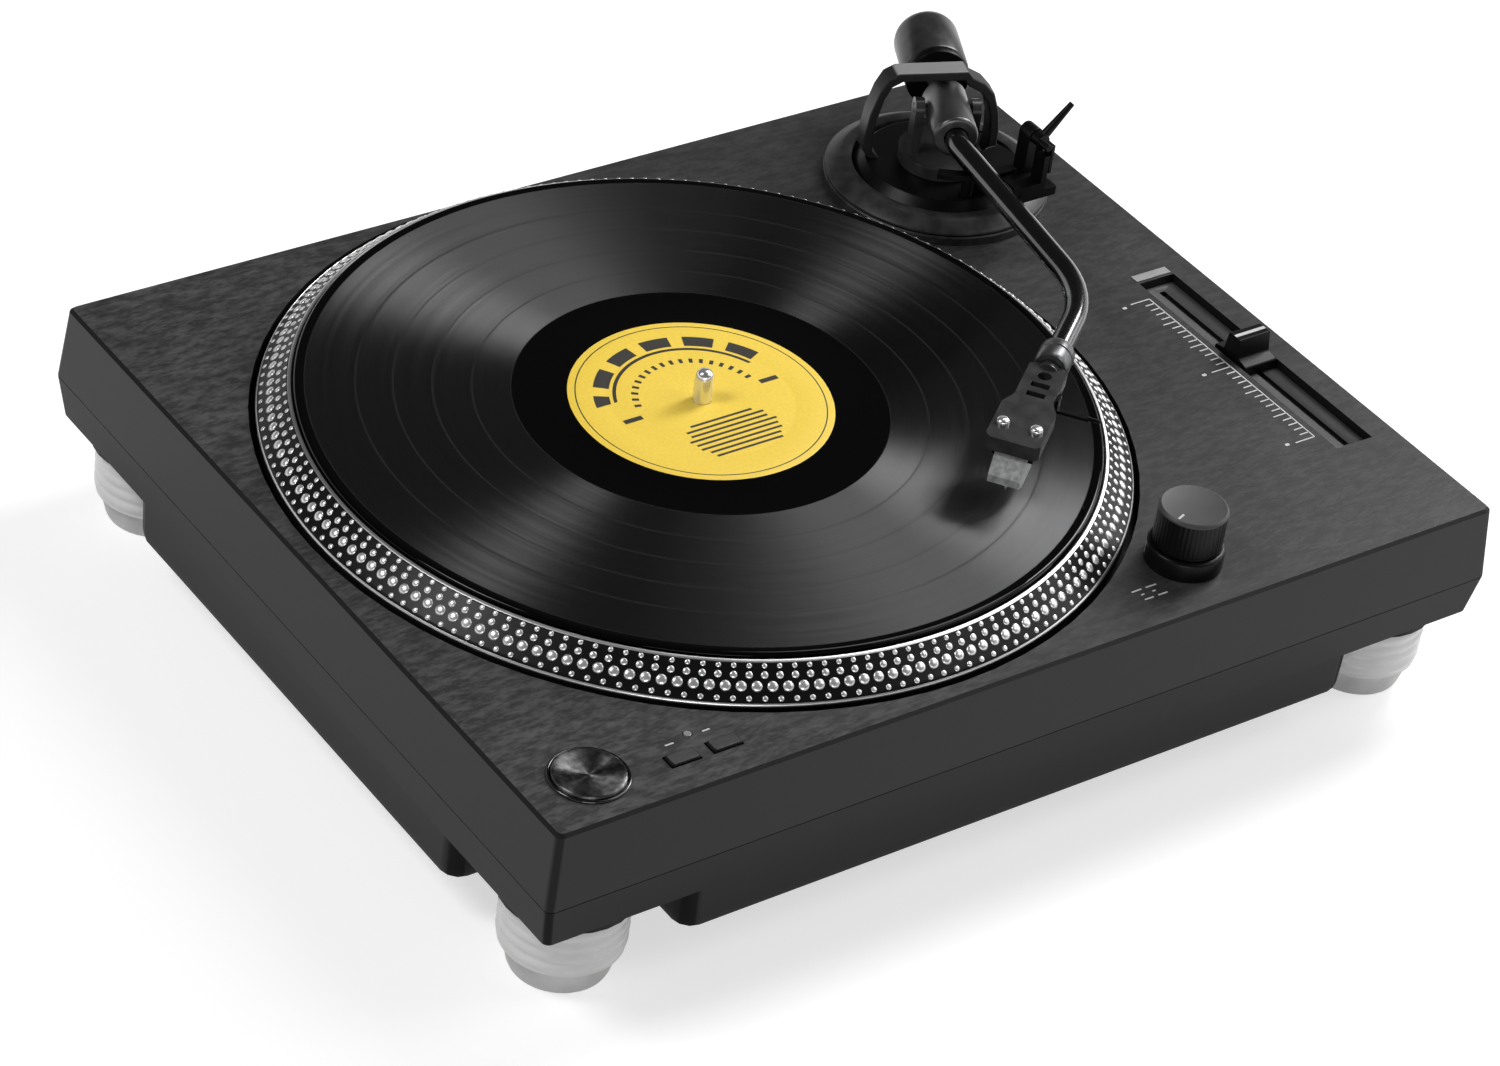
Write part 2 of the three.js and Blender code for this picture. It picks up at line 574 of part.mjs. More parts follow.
function addButtons(root) {
  const { x, y, radius, bezelWidth, bezelHeight } = startButton;
  const inner = radius + clearance;
  const start = frameAt(root, x, y);
  add(start, "start_stop_bezel", turned([
    [inner, 0], [inner + bezelWidth, 0], [inner + bezelWidth - 0.3, bezelHeight], [inner + 0.3, bezelHeight],
  ]), finish.glossBlack);
  add(start, "start_stop_button", startButtonBody(), finish.glossBlack);
  add(root, "start_stop_switch", tactSwitch(x, y), finish.blackPlastic);
  for (const [name, buttonX] of Object.entries(speedButtonX)) {
    add(frameAt(root, buttonX, speedButton.y), name, speedButtonBody(), finish.blackPlastic);
    add(root, name.replace("button", "switch"), tactSwitch(buttonX, speedButton.y), finish.blackPlastic);
  }
  add(root, "speed_led", join(
    drum(led.radius, -deck.thickness - 2, 0.3, led.x, led.y, 16),
    drum(led.radius - 0.6, buttonBoard.topZ, -deck.thickness - 1, led.x, led.y, 16),
  ), finish.lens);
  add(root, "button_board", box(
    buttonBoard.left, buttonBoard.right, buttonBoard.front, buttonBoard.back,
    buttonBoard.topZ - buttonBoard.thickness, buttonBoard.topZ,
  ), finish.board);
}

/** The strobe's lamp window looks from the tower towards the platter's dots. */
function addPowerKnob(root) {
  const place = frameAt(root, powerKnob.x, powerKnob.y);
  const { radius, height, wall, lensWidth, lensHeight } = strobeTower;
  const shaft = powerSwitch.shaftRadius;
  const towardsPlatter = THREE.MathUtils.radToDeg(Math.atan2(-powerKnob.y, -powerKnob.x));
  const lensBack = radius - wall - 2.5;
  const windowAt = (grow) => box(
    lensBack - grow, radius - 0.5 + grow * 6, -lensWidth / 2 - grow, lensWidth / 2 + grow,
    1.2 - grow, 1.2 + lensHeight + grow,
  ).rotate([0, 0, towardsPlatter]);
  add(place, "strobe_tower", cut(
    turned([
      [shaft + clearance, 0], [radius, 0], [radius, height - 1], [radius - 1, height],
      [shaft + clearance, height],
    ]),
    windowAt(clearance),
  ), finish.blackPlastic);
  add(place, "strobe_lens", windowAt(0), finish.lens);
  const bottom = height + clearance;
  add(place, "power_knob", turned([
    [0, -deck.thickness - 2], [shaft, -deck.thickness - 2], [shaft, bottom], [powerKnob.radius, bottom],
    [powerKnob.radius, powerKnob.topZ - 1], [powerKnob.radius - 1, powerKnob.topZ], [0, powerKnob.topZ],
  ]).subtract(
    box(powerKnob.radius - 4.5, powerKnob.radius - 1.6, -0.5, 0.5, powerKnob.topZ - 0.5, powerKnob.topZ + 1)
      .rotate([0, 0, 200]),
  ), finish.blackPlastic);
  add(place, "power_switch", cut(
    drum(powerSwitch.radius, -deck.thickness - powerSwitch.height, -deck.thickness),
    drum(shaft + clearance, -deck.thickness - 2 - clearance, 1, 0, 0, 24),
  ), finish.darkMetal);
}

function addPitchFader(root) {
  const { width, height, wall, blade, bladeLength, bladeReach } = faderBody;
  const [x0, x1] = [pitch.slotX - width / 2, pitch.slotX + width / 2];
  const slotEnds = [pitch.front + pitch.slotMargin, pitch.back - pitch.slotMargin];
  const top = trayFloorZ;
  add(root, "pitch_fader_body", cut(
    box(x0, x1, slotEnds[0] - 3, slotEnds[1] + 3, top - height, top),
    box(
      pitch.slotX - blade / 2 - clearance, pitch.slotX + blade / 2 + clearance,
      slotEnds[0], slotEnds[1], top - bladeReach - wall, top + 1,
    ),
  ), finish.steel);
  const z0 = -pitch.recess + clearance;
  const [halfWidth, halfLength, halfGrip] = [fader.width / 2, fader.length / 2, fader.gripLength / 2];
  const midX = (pitch.left + pitch.right) / 2;
  const restY = (pitch.front + pitch.back) / 2 + fader.offCentre;
  const grip = prismY([
    [-halfLength, z0], [halfLength, z0], [halfLength, fader.baseTopZ - 1], [halfGrip, fader.baseTopZ],
    [halfGrip - 1.4, fader.gripZ], [-halfGrip + 1.4, fader.gripZ], [-halfGrip, fader.baseTopZ],
    [-halfLength, fader.baseTopZ - 1],
  ], -halfWidth, halfWidth).rotate([0, 0, 90]);
  const bladeBody = box(
    pitch.slotX - midX - blade / 2, pitch.slotX - midX + blade / 2, -bladeLength / 2, bladeLength / 2,
    top - bladeReach, z0 + 1,
  );
  add(frameAt(root, midX, restY), "pitch_fader_knob", grip.add(bladeBody), finish.blackPlastic);
}

// ---------------------------------------------------------------- tonearm's base

/** Outer line of the arch over the arm, as shares of its half width and height, from left to right. */
const archLine = [
  [-0.894, 0], [-0.994, 0.101], [-1, 0.278], [-0.969, 0.53], [-0.888, 0.783], [-0.797, 0.934], [-0.656, 1],
  [0.25, 1], [0.325, 0.924], [0.5, 0.848], [0.644, 0.722], [0.738, 0.505], [0.781, 0.278], [0.781, 0],
];
const archMiddle = -0.094;

/** The arch: its outer line, less the same line drawn in by its thickness. */
function archBody() {
  const middle = new THREE.Vector2(archMiddle * arch.halfWidth, turret.topZ);
  const outer = archLine.map(([across, up]) => [across * arch.halfWidth, turret.topZ + up * arch.height]);
  const inner = outer.map(([x, z]) => {
    const towards = middle.clone().sub(new THREE.Vector2(x, z));
    const shrink = z === turret.topZ ? new THREE.Vector2(Math.sign(towards.x), 0) : towards.normalize();
    return [x + shrink.x * arch.thickness, z + shrink.y * arch.thickness];
  });
  return prismY([...outer, ...inner.reverse()].reverse(), arch.frontY, arch.frontY + arch.depth);
}

function turretBody() {
  const barrel = armBase.bore - clearance;
  const { topZ, shoulderZ, topRadius, bottomZ, wall, bossHeight } = turret;
  const bore = yoke.shaftRadius + clearance;
  const skinned = turned([
    [bore, topZ - bossHeight], [bore + wall, topZ - bossHeight], [bore + wall, topZ - wall],
    [barrel - wall, shoulderZ - wall],
    [barrel - wall, bottomZ], [barrel, bottomZ], [barrel, shoulderZ], [topRadius, topZ], [bore, topZ],
  ], 40);
  const stem = polar(cueLift.stemAt, stemDistance);
  return skinned.subtract(drum(cueLift.stemRadius + clearance, -5, topZ + 1, stem.x, stem.y, 20));
}

/** A point about the arm's pivot, by angle and distance. */
function polar(angleDeg, distance) {
  return { x: distance * Math.cos(rad(angleDeg)), y: distance * Math.sin(rad(angleDeg)) };
}

const stemDistance = turret.topRadius - cueLift.stemRadius - 1.2;

function addArmBase(root) {
  const base = frameAt(root, arm.x, arm.y);
  const { radius, bore, collarHeight, rimHeight, ringTopZ, ringTopRadius } = armBase;
  const ringBottom = collarHeight + clearance;
  const ringRadius = radius - clearance;
  add(base, "arm_base_collar", turned([
    [bore, 0], [radius, 0], [radius, collarHeight], [bore, collarHeight],
  ], 44), finish.deck);
  add(base, "height_ring", turned([
    [bore, ringBottom], [ringRadius, ringBottom], [ringRadius, ringBottom + rimHeight],
    [ringTopRadius, ringTopZ], [bore, ringTopZ],
  ], 44), finish.deck);
  add(base, "arm_turret", turretBody(), finish.darkMetal);
  add(frameAt(base, 0, 0, 0, arch.turn), "arm_arch", archBody(), finish.darkMetal);
  const dial = polar(antiSkate.at, antiSkate.distance);
  add(frameAt(base, dial.x, dial.y, turret.topZ + clearance), "anti_skate_dial", turned([
    [0, 0], [antiSkate.radius, 0], [antiSkate.radius, antiSkate.height - 1],
    [antiSkate.radius - 1, antiSkate.height], [0, antiSkate.height],
  ], 28), finish.darkMetal);
  return base;
}

/** The cradle that the parked tube lies in, on its bracket from the turret. */
function addArmRest(base) {
  const { x, y, depth, wall, halfFoot, hingeZ, slack, dip, ear, prong, sink } = armRest;
  const lipZ = arm.pivotZ - arm.tubeRadius - clearance;
  const half = arm.tubeRadius + slack;
  const [y0, y1] = [y - depth / 2, y + depth / 2];
  const [postLeft, postRight] = [x + half, x + half + wall];
  const hingeX = (postLeft + postRight) / 2;
  const { thickness, length, hingeRadius } = clip;
  const reach = wall / 2 + clearance + thickness;
  const cueRight = cuePost.x + cuePost.width / 2;
  const { topZ, thickness: plate, left, right, front, back } = restBracket;
  const bracket = prism([
    [x - halfFoot, y0], [cueRight, y0], [cueRight, cuePost.y + cuePost.depth / 2], [right, back],
    [left, back], [x - halfFoot, front],
  ], topZ - plate, topZ);
  const floor = lipZ - dip;
  const postBottom = floor - sink;
  add(base, "arm_rest", join(
    bracket,
    box(left, right, front, back, turret.topZ, topZ - sink),
    box(x - halfFoot, postRight, y0, y1, topZ - sink, floor),
    box(x - half - wall, x - half, y0, y1, floor - prong, lipZ),
    box(x - half - wall, x, y0, y1, floor - prong, floor),
    box(postLeft, postRight, y0, y1, postBottom, hingeZ - Math.hypot(reach, thickness / 2) - clearance),
    box(postLeft, postRight, y1 - ear, y1, postBottom, hingeZ),
    barY(wall / 2, y1 - ear, y1, hingeX, hingeZ, 20),
  ), finish.blackPlastic);
  const [clipFront, clipBack] = [-depth / 2, depth / 2 - ear - clearance];
  add(frameAt(base, hingeX, y, hingeZ), "rest_clip", join(
    barY(hingeRadius, clipFront, clipBack, 0, 0, 16),
    box(0, reach, clipFront, clipBack, -thickness / 2, thickness / 2),
    box(reach - thickness, reach, clipFront, clipBack, -length, thickness / 2),
  ), finish.blackPlastic);
}

/** The cueing lever on its post, and the curved rail that it raises under the tube. */
function addCueing(base) {
  const { x, y, width, depth, hubZ, pinRadius } = cuePost;
  const bottom = restBracket.topZ;
  const pinHole = barY(pinRadius + clearance, y - depth / 2 - 1, y + depth / 2 + 1, x, hubZ, 16);
  const post = join(
    box(x - width / 2, x + width / 2, y - depth / 2, y + depth / 2, bottom, hubZ),
    barY(width / 2, y - depth / 2, y + depth / 2, x, hubZ, 24),
  );
  add(base, "cue_post", post.subtract(pinHole), finish.blackPlastic);
  const face = -depth / 2 - clearance;
  const rise = rad(cueLever.rise);
  const { length, radius, tipRadius, hubRadius, hubWidth } = cueLever;
  add(frameAt(base, x, y, hubZ), "cue_lever", join(
    barY(hubRadius, face - hubWidth, face, 0, 0, 20),
    barY(pinRadius, face - 1, depth / 2, 0, 0, 16),
    barBetween(
      [0, face - hubWidth / 2, 0],
      [length * Math.cos(rise), face - hubWidth / 2, length * Math.sin(rise)],
      radius, tipRadius, 12,
    ),
  ), finish.blackPlastic);
  const top = arm.pivotZ - arm.tubeRadius - clearance;
  const railBottom = top - cueLift.thickness;
  const edge = (r, from, to) => arc(0, 0, r, from, to, 14).map((p) => [p.x, p.y]);
  const rail = prism(
    [...edge(cueLift.outer, cueLift.from, cueLift.to), ...edge(cueLift.inner, cueLift.to, cueLift.from)],
    railBottom, top,
  );
  const { inner, stemAt, stemRadius, stemZ, linkWidth, linkThickness } = cueLift;
  const stem = polar(stemAt, stemDistance);
  const linkTop = railBottom + clearance;
  const link = box(
    stemDistance, inner + stemRadius, -linkWidth / 2, linkWidth / 2, linkTop - linkThickness, linkTop,
  ).rotate([0, 0, stemAt]);
  add(base, "cue_lift", join(
    rail, link, drum(stemRadius, stemZ, railBottom, stem.x, stem.y, 20),
  ), finish.darkMetal);
}

// ---------------------------------------------------------------- tonearm

/** The swinging fork that carries the arm between two horizontal pins. */
function yokeBody() {
  const { discRadius, discTopZ, inner, outer, halfDepth, shaftRadius, shaftZ } = yoke;
  const discBottom = turret.topZ + clearance;
  const disc = drum(discRadius, discBottom, discTopZ, 0, 0, 40);
  const shaft = drum(shaftRadius, shaftZ, discBottom + 1, 0, 0, 24);
  const cheeks = [-1, 1].map((side) => {
    const [y0, y1] = side > 0 ? [inner, outer] : [-outer, -inner];
    return cut(
      join(
        box(-halfDepth, halfDepth, y0, y1, discTopZ - 1, arm.pivotZ),
        barY(halfDepth, y0, y1, 0, arm.pivotZ, 28),
      ),
      barY(block.pinRadius + clearance, y0 - 1, y1 + 1, 0, arm.pivotZ, 20),
    );
  });
  return join(disc, shaft, ...cheeks);
}

/** The arm's pivot block: sleeve for the tube, two pins, and the stub that carries the weight. */
function pivotBlock() {
  const { radius, back, front, stubRadius, stubEnd, tubeSeat, pinRadius } = block;
  const seat = arm.tubeRadius + clearance;
  const sleeve = turnedX([
    [0, back], [radius - 1.4, back], [radius, back + 1.4], [radius, front - 1.4], [radius - 1.4, front],
    [seat, front], [seat, tubeSeat], [0, tubeSeat],
  ], 36);
  return join(
    sleeve,
    barX(stubRadius, stubEnd, back + 1),
    barY(pinRadius, -yoke.outer, yoke.outer, 0, 0, 20),
  );
}

/** The tube's centre line in the arm's frame: three straights joined by two bends. */
function tubePath() {
  const path = new THREE.CurvePath();
  const position = new THREE.Vector3(block.tubeSeat, 0, 0);
  let heading = 0;
  const ahead = (distance) =>
    new THREE.Vector3(distance * Math.cos(heading), distance * Math.sin(heading), 0).add(position);
  const straight = (length) => {
    const end = ahead(length);
    path.add(new THREE.LineCurve3(position.clone(), end));
    position.copy(end);
  };
  const bend = (degrees, radius) => {
    const reach = radius * Math.tan(rad(Math.abs(degrees)) / 2);
    const corner = ahead(reach);
    heading += rad(degrees);
    const end = new THREE.Vector3(reach * Math.cos(heading), reach * Math.sin(heading), 0).add(corner);
    path.add(new THREE.QuadraticBezierCurve3(position.clone(), corner, end));
    position.copy(end);
  };
  straight(tube.straight1 - block.tubeSeat);
  bend(tube.bend1, tube.radius1);
  straight(tube.straight2);
  bend(tube.bend2, tube.radius2);
  straight(tube.straight3);
  return { path, end: position, heading: THREE.MathUtils.radToDeg(heading) };
}

function tubeBody(path) {
  const section = new THREE.Shape(arc(0, 0, arm.tubeRadius, 0, 337.5, 15));
  return solid(new THREE.ExtrudeGeometry(section, { steps: 40, extrudePath: path }));
}

function addCounterweight(armFrame) {
  const { radius, front, back, round, dialRadius, dialThickness } = weight;
  const bore = block.stubRadius + clearance;
  add(armFrame, "counterweight", turnedX([
    [bore, back], [radius - round, back], [radius - round * 0.3, back + round * 0.3], [radius, back + round],
    [radius, front - 0.8],
    [radius - 0.8, front], [bore, front],
  ], 32), finish.darkMetal);
  const dialBack = front + clearance;
  add(armFrame, "force_dial", turnedX([
    [bore, dialBack], [dialRadius, dialBack], [dialRadius, dialBack + dialThickness - 0.8],
    [dialRadius - 0.8, dialBack + dialThickness], [bore, dialBack + dialThickness],
  ], 32), finish.silver);
}

/** Plan of the head shell, a narrow neck that steps out to a wider nose. */
function shellPlan(inset = 0) {
  const { neck, wing, start, step, end } = shell;
  const half = [
    [start + inset, neck - 2.4 - inset], [start + 2 + inset, neck - inset], [step - 3 + inset, neck - inset],
    [step + 4 + inset, wing - inset], [end - 2 - inset, wing - inset], [end - inset, wing - 2 - inset],
  ];
  return [...half.map(([x, y]) => [x, -y]), ...half.reverse()];
}

function headshellBody() {
  const { plugRadius, top, plate, lip, start } = shell;
  const under = top - plate;
  const skirt = prism(shellPlan(), under - lip, top).subtract(prism(shellPlan(1.5), under - lip - 1, under));
  const tail = box(start + 1, start + 9, -plugRadius, plugRadius, -plugRadius + 0.6, top - 0.5);
  const slots = [24, 30.5].map((x) => box(x - 1.6, x + 1.6, -3.6, 3.6, under - 1, top + 1));
  const screws = [-1, 1].map((side) =>
    drum(screwHoles.radius, -12, 12, screwHoles.x, (side * screwHoles.spacing) / 2, 16));
  return cut(
    join(skirt, tail, barX(plugRadius, collar.seat + clearance, start + 3, 0, 0, 24)),
    drum(2.7, under - 8, top + 1, start + 8, 0, 20), ...slots, ...screws,
  );
}

function cartridgeBody() {
  const { back, front, width, height } = cartridge;
  const top = shell.top - shell.plate;
  const inner = shell.wing - 1.5 - clearance;
  const half = Math.min(width / 2, inner);
  const body = prism([
    [back + 2, -half], [front, -half], [front, half], [back + 2, half], [back, half - 2], [back, -half + 2],
  ], top - height, top);
  const screws = [-1, 1].map((side) =>
    join(
      drum(screwHoles.radius - clearance, top - 1, shell.top + 0.6, screwHoles.x, (side * screwHoles.spacing) / 2, 16),
      drum(2.3, shell.top, shell.top + 1.5, screwHoles.x, (side * screwHoles.spacing) / 2, 20),
    ));
  return join(body, ...screws);
}

/** The stylus unit: a light block under and before the cartridge, with its cantilever and tip. */
function stylusBody() {
  const { front, back, width, noseTop, noseDepth, chin, bottomZ, tipX, tipRadius } = stylus;
  const half = width / 2;
  const bottom = bottomZ - arm.pivotZ;
  const top = shell.top - shell.plate;
  const under = top - cartridge.height - clearance;
  const noseBack = cartridge.front + clearance;
  const tipZ = web.topZ + slipmat.thickness + record.thickness + clearance - arm.pivotZ;
  return join(
    prismY([
      [back, bottom], [front - chin * 2, bottom], [front, bottom + chin], [front, bottom + chin * 2],
      [noseBack + noseDepth, top - noseTop], [noseBack, top - noseTop], [noseBack, under], [back, under],
    ], -half, half),
    barBetween([tipX - 8, 0, bottom + 1], [tipX, 0, tipZ + 1], tipRadius, tipRadius, 8),
    barBetween([tipX, 0, tipZ + 1.3], [tipX, 0, tipZ], tipRadius, 0.15, 8),
  );
}

function addHeadshell(armFrame, end, heading) {
  const head = frameAt(armFrame, end.x, end.y, 0, heading);
  const { radius, back, front, seat } = collar;
  const tubeBore = arm.tubeRadius + clearance;
  const plugBore = shell.plugRadius + clearance;
  add(head, "headshell_collar", turnedX([
    [tubeBore, back], [radius, back], [radius + 0.5, back + 1.5], [radius + 0.5, front - 1.5],
    [radius, front], [plugBore, front], [plugBore, seat], [tubeBore, seat],
  ], 32), finish.silver);
  add(head, "headshell", headshellBody(), finish.darkMetal);
  const under = shell.top - shell.plate - shell.lip;
  const { x, reach, width, thickness } = fingerLift;
  const side = shell.neck + clearance;
  add(head, "finger_lift", join(
    box(x - width / 2, x + width / 2, side, side + reach * 0.75, under, under + thickness),
    box(x - 4, x + width / 2, side, side + thickness, under, shell.top - 0.6),
    barBetween(
      [x, side + reach * 0.7, under + thickness / 2], [x + 3.4, side + reach, under + 3],
      width / 2 - 0.5, width / 2 - 0.6, 10,
    ),
  ), finish.blackPlastic);
  add(head, "cartridge", cartridgeBody(), finish.blackPlastic);
  add(head, "stylus", stylusBody(), finish.silver);
}

function addTonearm(base) {
  const armFrame = frameAt(base, 0, 0, arm.pivotZ, arm.yaw);
  const yokeFrame = frameAt(base, 0, 0, 0, arm.yaw);
  add(yokeFrame, "gimbal_yoke", yokeBody(), finish.darkMetal);
  add(armFrame, "pivot_block", pivotBlock(), finish.silver);
  const { path, end, heading } = tubePath();
  add(armFrame, "arm_tube", tubeBody(path), finish.silver);
  addCounterweight(armFrame);
  addHeadshell(armFrame, end, heading);
}

// ---------------------------------------------------------------- electrics inside and at the back

function addElectrics(root) {
  const panelBack = deck.back - pocket.depth;
  const panelFront = panelBack + jack.panel;
  const middleZ = (pocket.bottomZ + pocket.topZ) / 2;
  const jackX = [jack.x - jack.spacing / 2, jack.x + jack.spacing / 2];
  add(root, "jack_panel", cut(
    join(
      box(pocket.left + clearance, pocket.right - clearance, panelBack, panelFront,
        pocket.bottomZ + clearance, pocket.topZ - clearance),
      ...jackX.map((x) => barY(jack.radius, panelFront - 1, panelFront + jack.reach, x, middleZ, 24)),
    ),
    ...jackX.map((x) => barY(jack.bore, panelFront + 1, panelFront + jack.reach + 1, x, middleZ, 16)),
  ), finish.steel);
  add(root, "ground_post", join(
    barY(2, panelFront, panelFront + 7, jack.x + 24, middleZ, 16),
    barY(3.6, panelFront + 3, panelFront + 6, jack.x + 24, middleZ, 20),
  ), finish.brass);
  const { x, width, height, reach, socketWidth, socketHeight, socketDepth } = inlet;
  add(root, "power_inlet", cut(
    box(x - width / 2, x + width / 2, panelFront, panelFront + reach, middleZ - height / 2, middleZ + height / 2),
    box(
      x - socketWidth / 2, x + socketWidth / 2, panelFront + reach - socketDepth, panelFront + reach + 1,
      middleZ - socketHeight / 2, middleZ + socketHeight / 2,
    ),
  ), finish.blackPlastic);
  const innerFloor = cabinet.floorZ + cabinet.wall;
  const boardZ = innerFloor + mainBoard.post;
  add(root, "main_board", box(
    mainBoard.left, mainBoard.right, mainBoard.front, mainBoard.back, boardZ, boardZ + mainBoard.thickness,
  ), finish.board);
  add(root, "power_transformer", box(
    transformer.left, transformer.right, transformer.front, transformer.back,
    innerFloor, innerFloor + transformer.height,
  ), finish.steel);
}

// ---------------------------------------------------------------- assembly

const turntable = new THREE.Group();
const layout = frameAt(
  turntable, -(deck.left + deck.right) / 2, -(deck.front + deck.back) / 2, -floorPlaneZ,
);
addCabinet(layout);
addMotorAndPlatter(layout);
addButtons(layout);
addPowerKnob(layout);
addPitchFader(layout);
const armBaseFrame = addArmBase(layout);
addArmRest(armBaseFrame);
addCueing(armBaseFrame);
addTonearm(armBaseFrame);
addElectrics(layout);

export default turntable;
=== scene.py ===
"""Looks of a direct-drive record player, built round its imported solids.

Each sub-assembly is a class that models its own pieces over the solids that carry them and gives them
their finishes. Lengths in the sub-assemblies are millimetres from the spindle's axis at the deck's top.
Everything in Blender is metres, and so are the lengths of a finish.
"""

from __future__ import annotations

import json
import logging
import math
from dataclasses import dataclass, field
from enum import Enum
from typing import Mapping, Sequence

import bpy
from mathutils import Matrix, Vector

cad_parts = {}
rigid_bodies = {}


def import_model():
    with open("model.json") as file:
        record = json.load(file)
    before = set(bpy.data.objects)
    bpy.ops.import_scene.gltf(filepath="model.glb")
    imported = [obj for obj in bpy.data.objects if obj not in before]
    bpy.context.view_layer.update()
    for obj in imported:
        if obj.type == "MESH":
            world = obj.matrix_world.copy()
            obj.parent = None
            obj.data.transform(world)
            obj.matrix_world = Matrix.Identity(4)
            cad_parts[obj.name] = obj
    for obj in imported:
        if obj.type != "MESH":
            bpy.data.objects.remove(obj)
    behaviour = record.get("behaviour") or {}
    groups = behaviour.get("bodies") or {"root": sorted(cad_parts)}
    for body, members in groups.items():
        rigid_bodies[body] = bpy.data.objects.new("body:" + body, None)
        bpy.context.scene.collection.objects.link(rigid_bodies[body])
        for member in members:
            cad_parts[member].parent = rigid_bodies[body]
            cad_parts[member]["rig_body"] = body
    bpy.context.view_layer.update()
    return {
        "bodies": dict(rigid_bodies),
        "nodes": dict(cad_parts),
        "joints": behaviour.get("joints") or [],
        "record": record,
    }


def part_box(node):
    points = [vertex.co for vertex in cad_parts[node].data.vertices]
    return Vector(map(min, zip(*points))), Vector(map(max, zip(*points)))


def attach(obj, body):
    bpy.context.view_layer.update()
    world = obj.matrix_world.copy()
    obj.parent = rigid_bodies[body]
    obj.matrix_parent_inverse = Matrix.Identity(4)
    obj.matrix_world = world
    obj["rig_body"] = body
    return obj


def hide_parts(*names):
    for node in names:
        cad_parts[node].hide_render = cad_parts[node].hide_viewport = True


logging.basicConfig(level=logging.INFO, format="%(message)s")
log = logging.getLogger("record_player")

Piece = bpy.types.Object
Colour = tuple[float, float, float]
Span = tuple[float, float]
Profile = Sequence[tuple[float, float]]

MM = 0.001
QUARTER_TURN = math.pi / 2
FULL_TURN = 2 * math.pi
WHITE = (1.0, 1.0, 1.0)
# Metres between points that count as one.
MERGE = 0.000001
# The start button's middle and the arm's upright axis, in millimetres from the spindle.
START_BUTTON = (-147.0, -150.5)
ARM_AXIS = (185.0, 100.0)


# ---------------------------------------------------------------- shader wiring


class Wire:
    """One output of a shader node, with arithmetic that adds Math nodes."""

    def __init__(self, wiring: "Wiring", socket: bpy.types.NodeSocket) -> None:
        """Keeps the socket and the tree that it is in."""
        self.wiring = wiring
        self.socket = socket

    def _math(self, operation: str, *values: "Wire | float") -> "Wire":
        """Adds one Math node."""
        return self.wiring.add("ShaderNodeMath", dict(enumerate(values)), operation=operation)

    def __add__(self, other: "Wire | float") -> "Wire":
        """Sum."""
        return self._math("ADD", self, other)

    def __radd__(self, other: float) -> "Wire":
        """Sum with a number in front."""
        return self._math("ADD", other, self)

    def __sub__(self, other: "Wire | float") -> "Wire":
        """Difference."""
        return self._math("SUBTRACT", self, other)

    def __rsub__(self, other: float) -> "Wire":
        """Difference from a number."""
        return self._math("SUBTRACT", other, self)

    def __mul__(self, other: "Wire | float") -> "Wire":
        """Product."""
        return self._math("MULTIPLY", self, other)

    def __rmul__(self, other: float) -> "Wire":
        """Product with a number in front."""
        return self._math("MULTIPLY", other, self)

    def __truediv__(self, other: "Wire | float") -> "Wire":
        """Quotient."""
        return self._math("DIVIDE", self, other)

    def __gt__(self, other: "Wire | float") -> "Wire":
        """1 where it is greater, otherwise 0."""
        return self._math("GREATER_THAN", self, other)

    def __lt__(self, other: "Wire | float") -> "Wire":
        """1 where it is less, otherwise 0."""
        return self._math("LESS_THAN", self, other)

    def root(self) -> "Wire":
        """Square root."""
        return self._math("SQRT", self)

    def sine(self) -> "Wire":
        """Sine of an angle in radians."""
        return self._math("SINE", self)

    def absolute(self) -> "Wire":
        """Size without its sign."""
        return self._math("ABSOLUTE", self)

    def floor(self) -> "Wire":
        """The whole number just below."""
        return self._math("FLOOR", self)

    def greater_of(self, other: "Wire") -> "Wire":
        """The greater of two values."""
        return self._math("MAXIMUM", self, other)

    def within(self, limits: Span) -> "Wire":
        """1 between two limits, otherwise 0."""
        return (self > limits[0]) * (self < limits[1])

    def over(self, low: float, high: float) -> "Wire":
        """Rises smoothly from 0 at low to 1 at high."""
        ends = {"Value": self, "From Min": low, "From Max": high}
        return self.wiring.add("ShaderNodeMapRange", ends, interpolation_type="SMOOTHSTEP")

    def also(self, output: str) -> "Wire":
        """Another output of the same node."""
        return Wire(self.wiring, self.socket.node.outputs[output])


